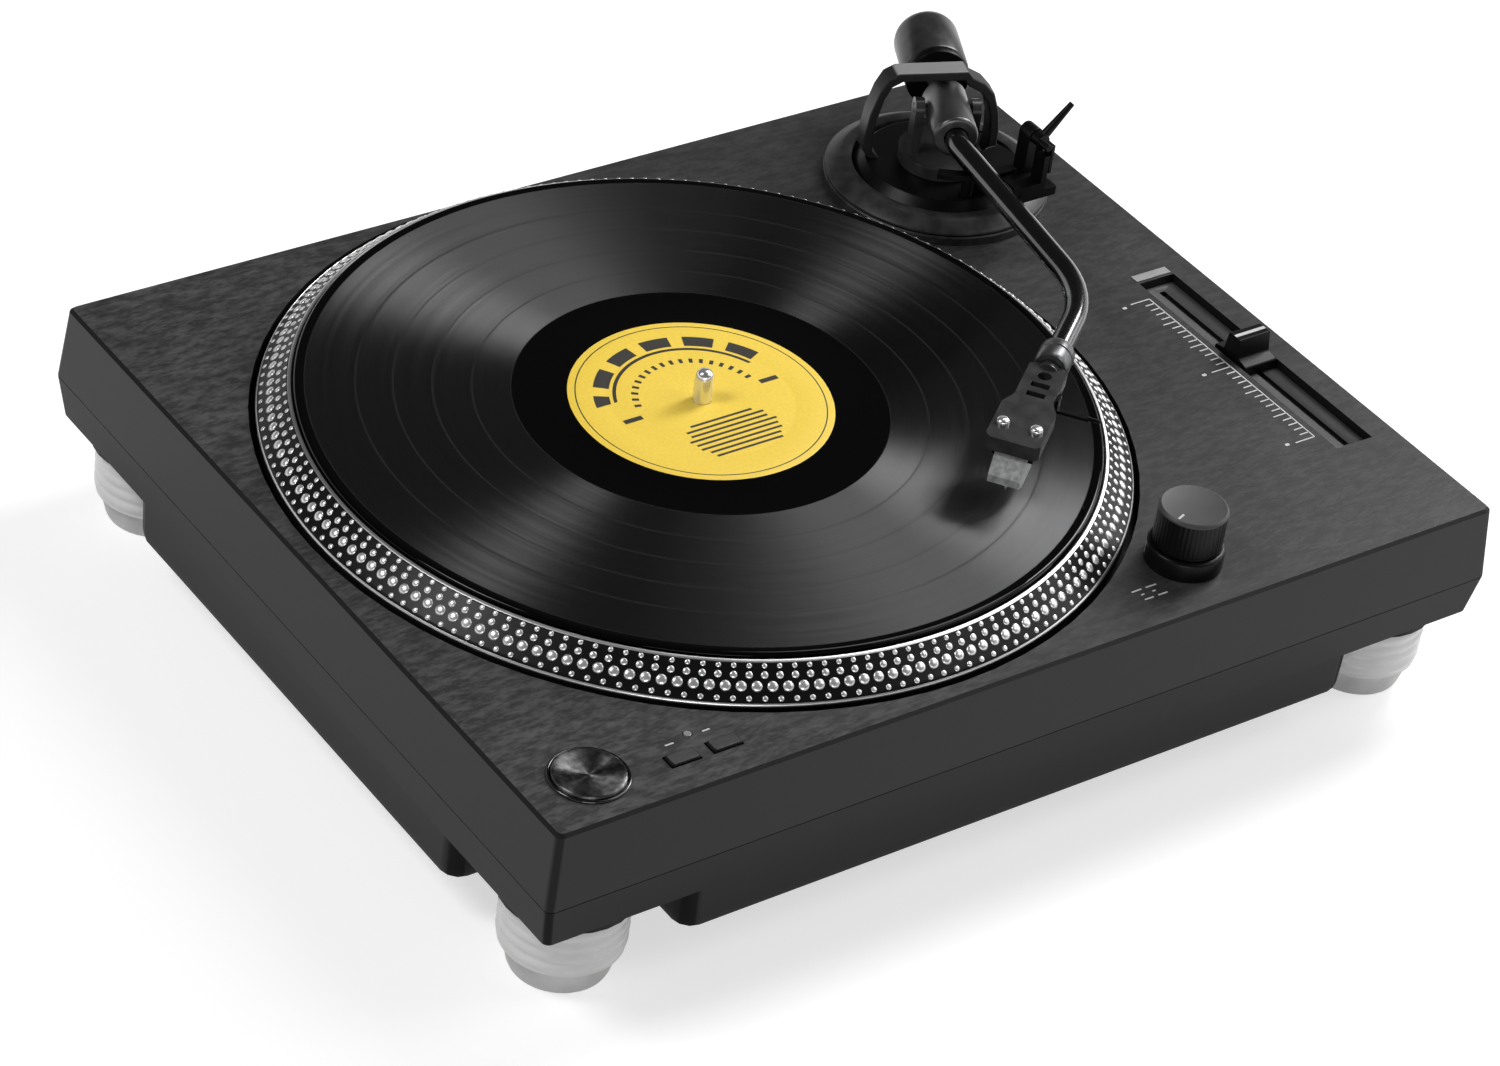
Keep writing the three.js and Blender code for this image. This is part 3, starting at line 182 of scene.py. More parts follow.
class Wiring:
    """The node tree of a material or a world, to which every node is added in one way."""

    def __init__(self, owner: bpy.types.Material | bpy.types.World, output: str) -> None:
        """Clears the owner's tree and adds the node that it ends in.

        Args:
            owner: The material or world.
            output: The type of the node that the tree ends in.
        """
        owner.use_nodes = True
        self.tree = owner.node_tree
        self.tree.nodes.clear()
        self.output = self.tree.nodes.new(output)

    def add(
        self,
        kind: str,
        values: Mapping[str | int, object] | None = None,
        output: str | int = 0,
        stops: Sequence[tuple[float, Colour]] = (),
        **settings: object,
    ) -> Wire:
        """Adds any node.

        Args:
            kind: The node's type.
            values: Numbers, colours or wires for its inputs.
            output: Which output to return.
            stops: Places and colours of a colour ramp.
            **settings: The node's own settings, set before its inputs.

        Returns:
            The chosen output.
        """
        node = self.tree.nodes.new(kind)
        for key, value in settings.items():
            setattr(node, key, value)
        if stops:
            ramp = node.color_ramp.elements
            while len(ramp) < len(stops):
                ramp.new(0.5)
            for element, (place, colour) in zip(ramp, stops):
                element.position = place
                element.color = (*colour, 1)
        for key, value in (values or {}).items():
            self.feed(node.inputs[key], value)
        return Wire(self, node.outputs[output])

    def feed(self, socket: bpy.types.NodeSocket, value: object) -> None:
        """Links a wire to a socket, or sets the socket's own value.

        Args:
            socket: The socket of a node in this tree.
            value: A wire, a number, a vector or a colour.
        """
        if isinstance(value, Wire):
            self.tree.links.new(value.socket, socket)
        elif socket.type == "RGBA" and len(value) == 3:
            socket.default_value = (*value, 1)
        else:
            socket.default_value = value

    def end_in(self, shader: Wire) -> None:
        """Links a shader to the node that the tree ends in."""
        self.feed(self.output.inputs["Surface"], shader)

    def blended(self, factor: Wire, first: Wire, second: Wire) -> Wire:
        """A mix of two shaders, the first where the factor is 0."""
        return self.add("ShaderNodeMixShader", {0: factor, 1: first, 2: second})


class ShaderSheet(Wiring):
    """The node tree of one material, with a Principled shader at its end."""

    # The sockets of a Mix node that is set to colours, which share their names with its other sockets.
    FACTOR, FIRST, SECOND, MIXED = 0, 6, 7, 2

    def __init__(self, name: str) -> None:
        """Makes the material and its Principled shader.

        Args:
            name: The material's name.
        """
        self.material = bpy.data.materials.new(name)
        super().__init__(self.material, "ShaderNodeOutputMaterial")
        self.shader = self.add("ShaderNodeBsdfPrincipled")
        self.end_in(self.shader)

    def set(self, **values: object) -> None:
        """Sets the Principled shader's sockets.

        Args:
            **values: A value or wire for each socket, with underscores for the spaces in its name.
        """
        for key, value in values.items():
            self.feed(self.shader.socket.node.inputs[key.replace("_", " ")], value)

    def place(self, centre: Sequence[float] = (0, 0, 0), scale: Sequence[float] = (1, 1, 1)) -> Wire:
        """Object coordinates measured from a point.

        Args:
            centre: The point, in metres.
            scale: A factor for each axis.

        Returns:
            The scaled coordinates.
        """
        here = self.add("ShaderNodeTexCoord", output="Object")
        moved = self.add("ShaderNodeVectorMath", {0: here, 1: tuple(centre)}, operation="SUBTRACT")
        return self.add("ShaderNodeVectorMath", {0: moved, 1: tuple(scale)}, operation="MULTIPLY")

    def length(self, vector: Wire) -> Wire:
        """The length of a vector."""
        return self.add("ShaderNodeVectorMath", {0: vector}, "Value", operation="LENGTH")

    def radius(self, centre: Sequence[float]) -> Wire:
        """Distance from the upright axis through a point."""
        return self.length(self.place(centre, (1, 1, 0)))

    def noise(self, scale: float, detail: float = 3, vector: Wire | None = None) -> Wire:
        """Noise from 0 to 1, with its scale in cycles per metre."""
        values = {"Vector": vector or self.place(), "Scale": scale, "Detail": detail}
        return self.add("ShaderNodeTexNoise", values, "Fac")

    def noise_along(self, value: Wire, scale: float, detail: float = 2) -> Wire:
        """Noise that changes with one value alone."""
        values = {"W": value, "Scale": scale, "Detail": detail}
        return self.add("ShaderNodeTexNoise", values, noise_dimensions="1D")

    def shades(self, amount: Wire, colour: Colour, shares: Span, ends: Span = (0.3, 0.7)) -> Wire:
        """A colour whose brightness follows an amount.

        Args:
            amount: The amount, such as a noise.
            colour: The colour in the middle.
            shares: Its brightness at the low and the high end, as a share.
            ends: The amounts between which it changes.

        Returns:
            The colour.
        """
        stops = [(end, dull(colour, share)) for end, share in zip(ends, shares)]
        return self.add("ShaderNodeValToRGB", {"Fac": amount}, "Color", stops)

    def between(self, amount: Wire, low: Wire | Colour, high: Wire | Colour) -> Wire:
        """A mix of two colours."""
        values = {self.FACTOR: amount, self.FIRST: low, self.SECOND: high}
        return self.add("ShaderNodeMix", values, self.MIXED, data_type="RGBA")

    def relief(self, height: Wire, depth: float, strength: float = 1) -> Wire:
        """A bump of a given depth in metres."""
        values = {"Height": height, "Distance": depth, "Strength": strength}
        return self.add("ShaderNodeBump", values, "Normal")


# ---------------------------------------------------------------- finishes


def dull(colour: Colour, share: float) -> Colour:
    """A colour with its brightness multiplied by a share."""
    return tuple(channel * share for channel in colour)


class Recipe:
    """A finish that can be made into a material."""

    def make(self, name: str) -> bpy.types.Material:
        """Builds the material.

        Args:
            name: The material's name.

        Returns:
            The material.
        """
        sheet = ShaderSheet(name)
        self.paint(sheet)
        return sheet.material

    def paint(self, sheet: ShaderSheet) -> None:
        """Adds the finish's own nodes."""
        raise NotImplementedError


@dataclass(frozen=True)
class Finish(Recipe):
    """A hard finish with a little unevenness: moulded plastic, paint or metal.

    Attributes:
        colour: Linear base colour.
        roughness: Middle roughness.
        metallic: 0 for plastic and paint, 1 for bare metal.
        mottle: How much the colour varies, as a share.
        mottle_scale: Cycles per metre of the variation.
        grain: Depth of the fine relief, in metres.
        grain_scale: Cycles per metre of the relief.
        coat: Weight of a clear coat.
        clear: Weight of transmission.
        ior: Index of refraction.
        shine: Specular level.
        stretch: Scale of the relief's pattern on each axis, for wound and brushed finishes.
        wander: How far the roughness varies to either side.
        coat_roughness: Roughness of the clear coat.
    """

    colour: Colour
    roughness: float = 0.5
    metallic: float = 0.0
    mottle: float = 0.12
    mottle_scale: float = 90.0
    grain: float = 0.00001
    grain_scale: float = 2600.0
    coat: float = 0.0
    clear: float = 0.0
    ior: float = 1.45
    shine: float = 0.5
    stretch: tuple[float, float, float] = (1.0, 1.0, 1.0)
    wander: float = 0.04
    coat_roughness: float = 0.06

    def paint(self, sheet: ShaderSheet) -> None:
        """Adds patches of colour and roughness, and a fine relief.

        Args:
            sheet: The material's sheet.
        """
        patch = sheet.noise(self.mottle_scale, 4)
        grain = sheet.noise(self.grain_scale, 2, sheet.place(scale=self.stretch))
        sheet.set(
            Base_Color=sheet.shades(patch, self.colour, (1 - self.mottle, 1 + self.mottle)),
            Roughness=self.roughness - self.wander + patch * (2 * self.wander),
            Metallic=self.metallic,
            Normal=sheet.relief(grain, self.grain),
            Specular_IOR_Level=self.shine,
        )
        if self.coat:
            sheet.set(Coat_Weight=self.coat, Coat_Roughness=self.coat_roughness)
        if self.clear:
            sheet.set(Transmission_Weight=self.clear, IOR=self.ior)


@dataclass(frozen=True)
class StreakyPaint(Recipe):
    """Charcoal paint: streaks along X on the upward faces, and darker even grain on the walls.

    Attributes:
        top: Linear colour of the upward faces, in the hollows of the grain.
        wall: Linear colour of the walls.
        streak: How much lighter the tops of the grain are, as a share.
        roughness: Roughness of the hollows.
        depth: Depth of the streaks, in metres.
        shine: Specular level.
        stretch: Scale along X of the streaks' pattern. Below 1 it draws them out.
        fine: Cycles per metre of the small streaks.
        broad: Cycles per metre of the large streaks.
        patches: Cycles per metre of the wandering of the colour.
        grit: Cycles per metre of the finest relief.
        bite: Amounts of grain between which a streak appears.
        fade: Where the streaks start and stop growing fainter along X, in metres. The fuller streaks
            towards -X make that end of the upward faces lighter, which is a painted sheen.
        faded: How much of the streaks is gone where the fading stops, as a share.
    """

    top: Colour
    wall: Colour
    streak: float = 0.9
    roughness: float = 0.4
    depth: float = 0.00009
    shine: float = 0.27
    stretch: float = 0.36
    fine: float = 900.0
    broad: float = 330.0
    patches: float = 17.0
    grit: float = 3200.0
    bite: Span = (0.36, 0.68)
    fade: Span = (-0.2, 0.1)
    faded: float = 0.6

    def paint(self, sheet: ShaderSheet) -> None:
        """Adds the streaks, the patches and a dark line of painted shade on the edges that face along X.

        Args:
            sheet: The material's sheet.
        """
        normal = sheet.add("ShaderNodeNewGeometry", output="Normal")
        upward = sheet.add("ShaderNodeSeparateXYZ", {0: normal}, "Z")
        sideways = upward.also("X").absolute()
        top = upward.over(0.8, 0.95)
        # Painted shade: bevels that face along X, such as the left edges and the upright corners, get a
        # dark line that stands in for the dark surroundings they reflect.
        edge = sideways.over(0.12, 0.3) * (1 - sideways.over(0.85, 0.97))
        drawn = sheet.place(scale=(self.stretch, 1, 1))
        across = sheet.add("ShaderNodeSeparateXYZ", {0: sheet.place()}, "X")
        grain = sheet.noise(self.fine, 3, drawn) * 0.4 + sheet.noise(self.broad, 5, drawn) * 0.6
        # Painted sheen: the streaks fade along X, so the upward faces are lighter towards -X than the grain
        # alone would make them.
        streaks = grain.over(*self.bite) * top * (1 - across.over(*self.fade) * self.faded)
        patch = sheet.noise(self.patches, 4)

        def patched(colour: Colour, share: float) -> Wire:
            """A colour that wanders a little from place to place."""
            return sheet.shades(patch, colour, (0.85 * share, 1.15 * share))

        flat = sheet.between(top, patched(self.wall, 1), patched(self.top, 1))
        worn = sheet.between(streaks, flat, patched(self.top, 1 + self.streak))
        grit = sheet.noise(self.grit, 2)
        sheet.set(
            Base_Color=sheet.between(edge, worn, dull(self.wall, 0.3)),
            Roughness=self.roughness + patch * 0.05 + streaks * 0.06 + edge * 0.3,
            Normal=sheet.relief(streaks + grit * 0.16, self.depth, 0.7),
            Specular_IOR_Level=self.shine,
        )


@dataclass(frozen=True)
class TurnedMetal(Recipe):
    """Bare metal with fine rings left by the lathe, about the upright axis through a point."""

    colour: Colour
    centre: tuple[float, float, float]
    roughness: float = 0.22
    rings: float = 3000.0
    depth: float = 0.000012

    def paint(self, sheet: ShaderSheet) -> None:
        """Adds the rings.

        Args:
            sheet: The material's sheet.
        """
        rings = sheet.noise_along(sheet.radius(self.centre), self.rings)
        sheet.set(
            Base_Color=sheet.shades(sheet.noise(70, 3), self.colour, (0.92, 1.06)),
            Metallic=1.0,
            Roughness=self.roughness + rings * 0.08,
            Normal=sheet.relief(rings, self.depth),
        )


@dataclass(frozen=True)
class BrushedDish(Recipe):
    """Dark metal brushed in circles about an upright axis, which draws a bow-tie of light."""

    centre: tuple[float, float, float]
    colour: Colour = (0.13, 0.13, 0.132)
    roughness: float = 0.34
    rings: float = 2600.0
    blotches: float = 420.0
    depth: float = 0.00002

    def paint(self, sheet: ShaderSheet) -> None:
        """Adds the brushing and the blotches.

        Args:
            sheet: The material's sheet.
        """
        rings = sheet.noise_along(sheet.radius(self.centre), self.rings, 3)
        blotch = sheet.noise(self.blotches, 3)
        sheet.set(
            Base_Color=sheet.shades(blotch, self.colour, (0.55, 1.35), (0.35, 0.65)),
            Metallic=1.0,
            Roughness=self.roughness + blotch * 0.1 - rings * 0.06,
            Normal=sheet.relief(rings + blotch * 0.6, self.depth),
            Anisotropic=0.9,
            Anisotropic_Rotation=0.25,
        )


@dataclass(frozen=True)
class PressedVinyl(Recipe):
    """Glossy black vinyl: fine grooves that spread light along the radius, and smooth rings.

    Attributes:
        centre: The spindle, in metres.
        grooves: Radii of the grooved band, in metres.
        pauses: Radii of the narrow smooth rings between tracks, in metres.
        pause: Half widths of a smooth ring, at its full and its last strength, in metres.
        border: Width over which the grooved band begins and ends, in metres.
        depth: Depth of the grooves, in metres.
        colour: Linear colour of the smooth vinyl.
        sheen: Linear colour of the light that the grooves spread.
    """

    centre: tuple[float, float, float]
    grooves: Span = (0.0705, 0.1465)
    pauses: tuple[float, ...] = (0.0852, 0.0998, 0.1143, 0.1281)
    pause: Span = (0.00025, 0.0006)
    border: float = 0.0006
    depth: float = 0.000035
    colour: Colour = (0.002, 0.002, 0.0022)
    sheen: Colour = (0.075, 0.075, 0.0765)

    def paint(self, sheet: ShaderSheet) -> None:
        """Adds the grooves.

        Args:
            sheet: The material's sheet.
        """
        radius = sheet.radius(self.centre)
        inner, outer = self.grooves
        grooved = radius.over(inner, inner + self.border) * (1 - radius.over(outer, outer + self.border))
        for pause in self.pauses:
            grooved = grooved * (0.8 + (radius - pause).absolute().over(*self.pause) * 0.2)
        loudness = 0.82 + sheet.noise_along(radius, 260, 5).over(0.3, 0.7) * 0.18
        sheet.set(
            Base_Color=sheet.between(grooved, self.colour, self.sheen),
            Metallic=grooved,
            Roughness=0.05 + grooved * loudness * 0.37,
            Normal=sheet.relief(sheet.noise_along(radius, 1500) * grooved, self.depth),
            Anisotropic=1.0,
            Anisotropic_Rotation=0.25,
            Specular_IOR_Level=0.15,
        )


@dataclass(frozen=True)
class PrintedLabel(Recipe):
    """Matt yellow paper with a plain dark pattern, whose lengths are metres from its centre.

    Attributes:
        centre: The spindle, in metres.
        paper: Linear colour of the paper.
        ink: Linear colour of the print.
        ring: Radii of a broad broken arc.
        arc: Radii of a thin arc within it.
        rim: Radii of a line near the label's edge.
        studs: Radii of an arc of studs.
        tick: How far each side tick reaches from and to.
        tick_half: Half of a side tick's width.
        rules: Where the block of thin rules begins and ends.
        pitch: Radians per metre of the rules.
        shortest: Half of the shortest rule's length.
        ragged: How much longer half of the longest rule is.
    """

    centre: tuple[float, float, float]
    paper: Colour = (0.93, 0.66, 0.075)
    ink: Colour = (0.03, 0.026, 0.02)
    ring: Span = (0.0345, 0.0405)
    arc: Span = (0.0318, 0.0332)
    rim: Span = (0.0468, 0.0473)
    studs: Span = (0.0235, 0.0262)
    tick: Span = (0.0265, 0.0345)
    tick_half: float = 0.0012
    rules: Span = (-0.0335, -0.0115)
    pitch: float = 2300.0
    shortest: float = 0.008
    ragged: float = 0.02

    def paint(self, sheet: ShaderSheet) -> None:
        """Adds the paper's fibre and the print.

        Args:
            sheet: The material's sheet.
        """
        x = sheet.add("ShaderNodeSeparateXYZ", {0: sheet.place(self.centre)}, "X")
        y = x.also("Y")
        radius = (x * x + y * y).root()
        angle = sheet.add("ShaderNodeMath", {0: y, 1: x}, operation="ARCTAN2")
        upper = y > 0.012
        ring = radius.within(self.ring) * upper * ((angle * 14).sine() > -0.55)
        arc = radius.within(self.arc) * upper
        rim = radius.within(self.rim)
        studs = ((angle * 40).sine() > 0.35) * radius.within(self.studs) * (y > 0.004)
        ticks = y.within((-self.tick_half, self.tick_half)) * x.absolute().within(self.tick)
        lines = (y * self.pitch).sine() > 0.25
        number = (y * self.pitch / FULL_TURN + 0.25).floor()
        reach = self.shortest + sheet.noise_along(number, 7.3) * self.ragged
        rules = lines * y.within(self.rules) * (x.absolute() < reach)
        printed = ring + arc + rim + studs + ticks + rules
        fibre = sheet.noise(900, 3)
        paper = sheet.shades(fibre, self.paper, (0.95, 1.04))
        sheet.set(
            Base_Color=sheet.between(printed > 0.5, paper, self.ink),
            Roughness=0.5 + fibre * 0.12,
            Normal=sheet.relief(fibre, 0.00002),
        )


class Surface(Enum):
    """Every finish, by the record's slot that it belongs to and a name of its own."""

    DECK = ("deck_paint", "charcoal_grain")
    RING = ("deck_paint", "mottled_ring")
    SHELL = ("base_shell", "shell_grain")
    FOOT = ("foot_clear", "smoky_foot")
    RUBBER = ("foot_rubber", "grey_rubber")
    PLASTIC = ("black_plastic", "satin_black")
    GREY_CAP = ("black_plastic", "grey_cap")
    PRINT = ("deck_paint", "pale_print")
    PALE = ("deck_paint", "pale_paint")
    RECESS = ("deck_paint", "recess_paint")
    GLOSS = ("gloss_black", "piano_black")
    DISH = ("gloss_black", "brushed_dish")
    KEY = ("black_plastic", "key_cap")
    GUNMETAL = ("dark_metal", "gunmetal")
    ARCH = ("dark_metal", "arch_paint")
    BRUSHED_DARK = ("dark_metal", "brushed_dark")
    SATIN_GREY = ("dark_metal", "satin_grey")
    SILVER = ("silver_metal", "satin_silver")
    TUBE = ("silver_metal", "dark_chrome")
    BRIGHT = ("silver_metal", "polished_silver")
    MIRROR = ("silver_metal", "mirror_dots")
    STEEL = ("steel", "zinc_steel")
    CASTING = ("aluminium", "black_casting")
    LIP = ("aluminium", "turned_lip")
    BRASS = ("brass", "turned_brass")
    COPPER = ("copper_wire", "enamelled_copper")
    FERRITE = ("ferrite", "sintered_ferrite")
    FELT = ("felt", "black_felt")
    VINYL = ("vinyl", "pressed_vinyl")
    LABEL = ("label_paper", "printed_label")
    BOARD = ("board", "green_laminate")
    LENS = ("lens", "clear_lens")


class Palette:
    """Makes each finish once, when a piece first asks for it."""

    def __init__(self, spindle: Vector) -> None:
        """Settles the recipe of each finish.

        Args:
            spindle: The spindle's axis on the deck, in metres.
        """
        centre = tuple(spindle)
        button = tuple(spindle + Vector((*START_BUTTON, 0)) * MM)
        self.made: dict[Surface, bpy.types.Material] = {}
        self.recipes: dict[Surface, Recipe] = {
            Surface.DECK: StreakyPaint((0.027, 0.027, 0.0275), (0.006, 0.006, 0.0062), 1.9),
            Surface.RING: Finish((0.026, 0.026, 0.0265), 0.42, mottle=0.5, mottle_scale=200, shine=0.3),
            Surface.SHELL: StreakyPaint(
                (0.01, 0.01, 0.0103), (0.0055, 0.0055, 0.0057), 0.4, 0.46, shine=0.16
            ),
            Surface.FOOT: Finish(
                (0.95, 0.95, 0.945), 0.3, mottle=0.04, grain=0.000004, clear=0.1, coat=0.5, ior=1.3
            ),
            Surface.RUBBER: Finish((0.7, 0.7, 0.695), 0.5, grain=0.00003, grain_scale=1800),
            Surface.PLASTIC: Finish((0.003, 0.003, 0.0032), 0.34, grain_scale=2200, shine=0.15),
            Surface.GREY_CAP: Finish((0.06, 0.06, 0.061), 0.45, mottle=0.06, shine=0.35),
            Surface.PRINT: Finish((0.55, 0.55, 0.55), 0.55, mottle=0.08),
            Surface.PALE: Finish((0.3, 0.3, 0.3), 0.45, mottle=0.1),
            # Painted light: the recess lining is lighter than the deck, so that in the shade of the recess
            # it looks as light as the lit deck.
            Surface.RECESS: Finish((0.09, 0.09, 0.091), 0.5, mottle=0.1, shine=0.3),
            # Painted light: this dark metal arch gets light grey on its upward faces and near black on its
            # walls, which stands in for the light from above and the shade on its sides.
            Surface.ARCH: StreakyPaint(
                (0.24, 0.24, 0.242), (0.014, 0.014, 0.0142), 0.1, 0.3, shine=0.4
            ),
            Surface.GLOSS: Finish((0.006, 0.006, 0.0065), 0.1, mottle=0.05, grain=0.000001, coat=0.6),
            Surface.DISH: BrushedDish(button),
            # Painted highlight: the black keys get a lighter colour on their upward faces than on their
            # walls, which stands in for the light on their tops.
            Surface.KEY: StreakyPaint((0.05, 0.05, 0.051), (0.003, 0.003, 0.003), 0.1, 0.4),
            Surface.GUNMETAL: Finish((0.05, 0.05, 0.052), 0.3, 0.5, mottle=0.3, mottle_scale=170),
            Surface.BRUSHED_DARK: Finish((0.15, 0.15, 0.153), 0.3, 0.85, grain=0.000006),
            Surface.SATIN_GREY: Finish((0.1, 0.101, 0.104), 0.3, 0.75, mottle=0.06),
            Surface.SILVER: Finish(
                (0.5, 0.505, 0.51), 0.3, 0.4, mottle=0.3, mottle_scale=500, grain=0.000006
            ),
            Surface.TUBE: Finish((0.12, 0.121, 0.125), 0.16, 1.0, mottle=0.04, grain=0.000002),
            Surface.BRIGHT: Finish((0.82, 0.82, 0.82), 0.2, 0.8, mottle=0.03, grain=0.000003),
            Surface.MIRROR: Finish((0.86, 0.86, 0.86), 0.28, 0.72, mottle=0.02, grain=0.000002),
            Surface.STEEL: Finish((0.42, 0.425, 0.43), 0.34, 0.95, mottle_scale=160),
            Surface.CASTING: Finish(
                (0.006, 0.006, 0.0062), 0.32, mottle=0.1, grain=0.000004, shine=0.2
            ),
            Surface.LIP: TurnedMetal((0.78, 0.78, 0.78), centre, 0.3, depth=0.000001),
            Surface.BRASS: TurnedMetal((0.55, 0.38, 0.14), centre),
            Surface.COPPER: Finish(
                (0.45, 0.16, 0.06), 0.34, 0.9, grain=0.0002, grain_scale=1400, stretch=(0.15, 0.15, 1)
            ),
            Surface.FERRITE: Finish((0.045, 0.045, 0.046), 0.75, mottle=0.25, grain_scale=3600),
            Surface.FELT: Finish(
                (0.012, 0.012, 0.012), 0.97, mottle=0.3, mottle_scale=700, grain=0.00025
            ),
            Surface.VINYL: PressedVinyl(centre),
            Surface.LABEL: PrintedLabel(centre),
            Surface.BOARD: Finish((0.02, 0.11, 0.035), 0.4, mottle=0.15, mottle_scale=400),
            Surface.LENS: Finish((0.85, 0.85, 0.85), 0.08, mottle=0.02, grain=0.000001, clear=0.7),
        }

    def get(self, surface: Surface) -> bpy.types.Material:
        """The material of a finish.

        Args:
            surface: The finish.

        Returns:
            Its material, made now if no piece has it yet.
        """
        if surface not in self.made:
            self.made[surface] = self.recipes[surface].make(surface.value[1])
        return self.made[surface]


# ---------------------------------------------------------------- workshop


class Editing:
    """Edit mode on one object, with all of its mesh selected, for as long as the block lasts."""

    def __init__(self, piece: Piece, kind: str = "VERT") -> None:
        """Keeps the piece and the kind of element to select."""
        self.piece = piece
        self.kind = kind

    def __enter__(self) -> Piece:
        """Enters edit mode.

        Returns:
            The piece.
        """
        Workshop.take(self.piece)
        bpy.ops.object.mode_set(mode="EDIT")
        bpy.ops.mesh.select_mode(type=self.kind)
        bpy.ops.mesh.select_all(action="SELECT")
        return self.piece

    def __exit__(self, *_: object) -> None:
        """Goes back to object mode."""
        bpy.ops.object.mode_set(mode="OBJECT")

    @staticmethod
    def face_outwards() -> None:
        """Selects the whole mesh and points its faces outwards."""
        bpy.ops.mesh.select_all(action="SELECT")
        bpy.ops.mesh.normals_make_consistent(inside=False)


class Workshop:
    """Modelling steps, each made with Blender's own operators. Sizes are millimetres."""

    @staticmethod
    def take(*pieces: Piece) -> None:
        """Selects some pieces and nothing else.

        Args:
            *pieces: The pieces, of which the first becomes the active one.
        """
        bpy.ops.object.select_all(action="DESELECT")
        for piece in pieces:
            piece.select_set(True)
        if pieces:
            bpy.context.view_layer.objects.active = pieces[0]

    @staticmethod
    def loop(name: str, points: Sequence[Sequence[float]]) -> Piece:
        """A closed loop of edges through points.

        Args:
            name: The new object's name.
            points: Three millimetre coordinates for each corner.

        Returns:
            The object, with no faces yet.
        """
        Workshop.take()
        bpy.ops.mesh.primitive_circle_add(vertices=len(points), radius=1)
        piece = bpy.context.object
        piece.name = name
        for vertex, point in zip(piece.data.vertices, points):
            vertex.co = Vector(point) * MM
        return piece

    @staticmethod
    def turned(name: str, profile: Profile, sides: int = 96, smooth: float = 32) -> Piece:
        """Spins a closed outline about Z.

        Args:
            name: The new object's name.
            profile: Radius and height of each of its corners.
            sides: Steps of the whole turn.
            smooth: Edges flatter than this angle, in degrees, are shaded smooth.

        Returns:
            The closed piece.
        """
        piece = Workshop.loop(name, [(radius, 0, z) for radius, z in profile])
        with Editing(piece):
            bpy.ops.mesh.spin(steps=sides, angle=FULL_TURN, center=(0, 0, 0), axis=(0, 0, 1))
            bpy.ops.mesh.select_all(action="SELECT")
            bpy.ops.mesh.remove_doubles(threshold=MERGE)
            bpy.ops.mesh.dissolve_degenerate(threshold=MERGE / 10)
            bpy.ops.mesh.delete_loose()
            Editing.face_outwards()
        return Workshop.smooth(piece, smooth)

    @staticmethod
    def lying(name: str, profile: Profile, sides: int = 96, smooth: float = 32) -> Piece:
        """Spins a closed outline, as turned does, and lays it down along X."""
        upright = Workshop.turned(name, profile, sides, smooth)
        return Workshop.settle(upright, Matrix.Rotation(QUARTER_TURN, 4, "Y"))

    @staticmethod
    def plate(name: str, outline: Profile, low: float, high: float, round_by: float = 0) -> Piece:
        """Extrudes a flat outline upwards.

        Args:
            name: The new object's name.
            outline: Its corners.
            low: Height of its underside.
            high: Height of its top.
            round_by: Width of the rounding on its sharp edges, or 0 for none.

        Returns:
            The closed piece.
        """
        piece = Workshop.loop(name, [(x, y, low) for x, y in outline])
        with Editing(piece):
            bpy.ops.mesh.edge_face_add()
            bpy.ops.mesh.extrude_region_move(
                TRANSFORM_OT_translate={"value": (0, 0, (high - low) * MM)}
            )
            Editing.face_outwards()
        return Workshop.eased(piece, round_by) if round_by else Workshop.smooth(piece)

    @staticmethod
    def bar(name: str, low: Sequence[float], high: Sequence[float], round_by: float = 0.3) -> Piece:
        """A block between two corners, with its edges rounded."""
        outline = [(low[0], low[1]), (high[0], low[1]), (high[0], high[1]), (low[0], high[1])]
        return Workshop.plate(name, outline, low[2], high[2], round_by)

    @staticmethod
    def rod(name: str, points: Sequence[Sequence[float]], radius: float, sides: int) -> Piece:
        """A round rod along points.

        Args:
            name: The new object's name.
            points: The points of its centre line.
            radius: Its radius.
            sides: How many sides its section has, a multiple of four.

        Returns:
            The closed piece.
        """
        curve = bpy.data.curves.new(name, "CURVE")
        curve.dimensions = "3D"
        curve.bevel_depth = MM
        curve.bevel_resolution = sides // 4 - 1
        curve.use_fill_caps = True
        spline = curve.splines.new("POLY")
        spline.points.add(len(points) - 1)
        for knot, point in zip(spline.points, points):
            knot.co = (*(Vector(point) * MM), 1)
            knot.radius = radius
        piece = bpy.data.objects.new(name, curve)
        bpy.context.scene.collection.objects.link(piece)
        Workshop.take(piece)
        bpy.ops.object.convert(target="MESH")
        piece = bpy.context.object
        with Editing(piece):
            bpy.ops.mesh.remove_doubles(threshold=MERGE)
            Editing.face_outwards()
        return Workshop.smooth(piece, 50)

    @staticmethod
    def modify(piece: Piece, kind: str, **settings: object) -> Piece:
        """Adds one modifier and applies it.

        Args:
            piece: The piece.
            kind: The modifier's type.
            **settings: The modifier's own settings.

        Returns:
            The same piece.
        """
        Workshop.take(piece)
        modifier = piece.modifiers.new(kind.lower(), kind)
        for key, value in settings.items():
            setattr(modifier, key, value)
        bpy.ops.object.modifier_apply(modifier=modifier.name)
        return piece

    @staticmethod
    def smooth(piece: Piece, angle: float = 32) -> Piece:
        """Smooths the shading across edges flatter than an angle.

        Args:
            piece: The piece.
            angle: The angle, in degrees.

        Returns:
            The same piece.
        """
        Workshop.take(piece)
        bpy.ops.object.shade_smooth_by_angle(angle=math.radians(angle))
        return piece

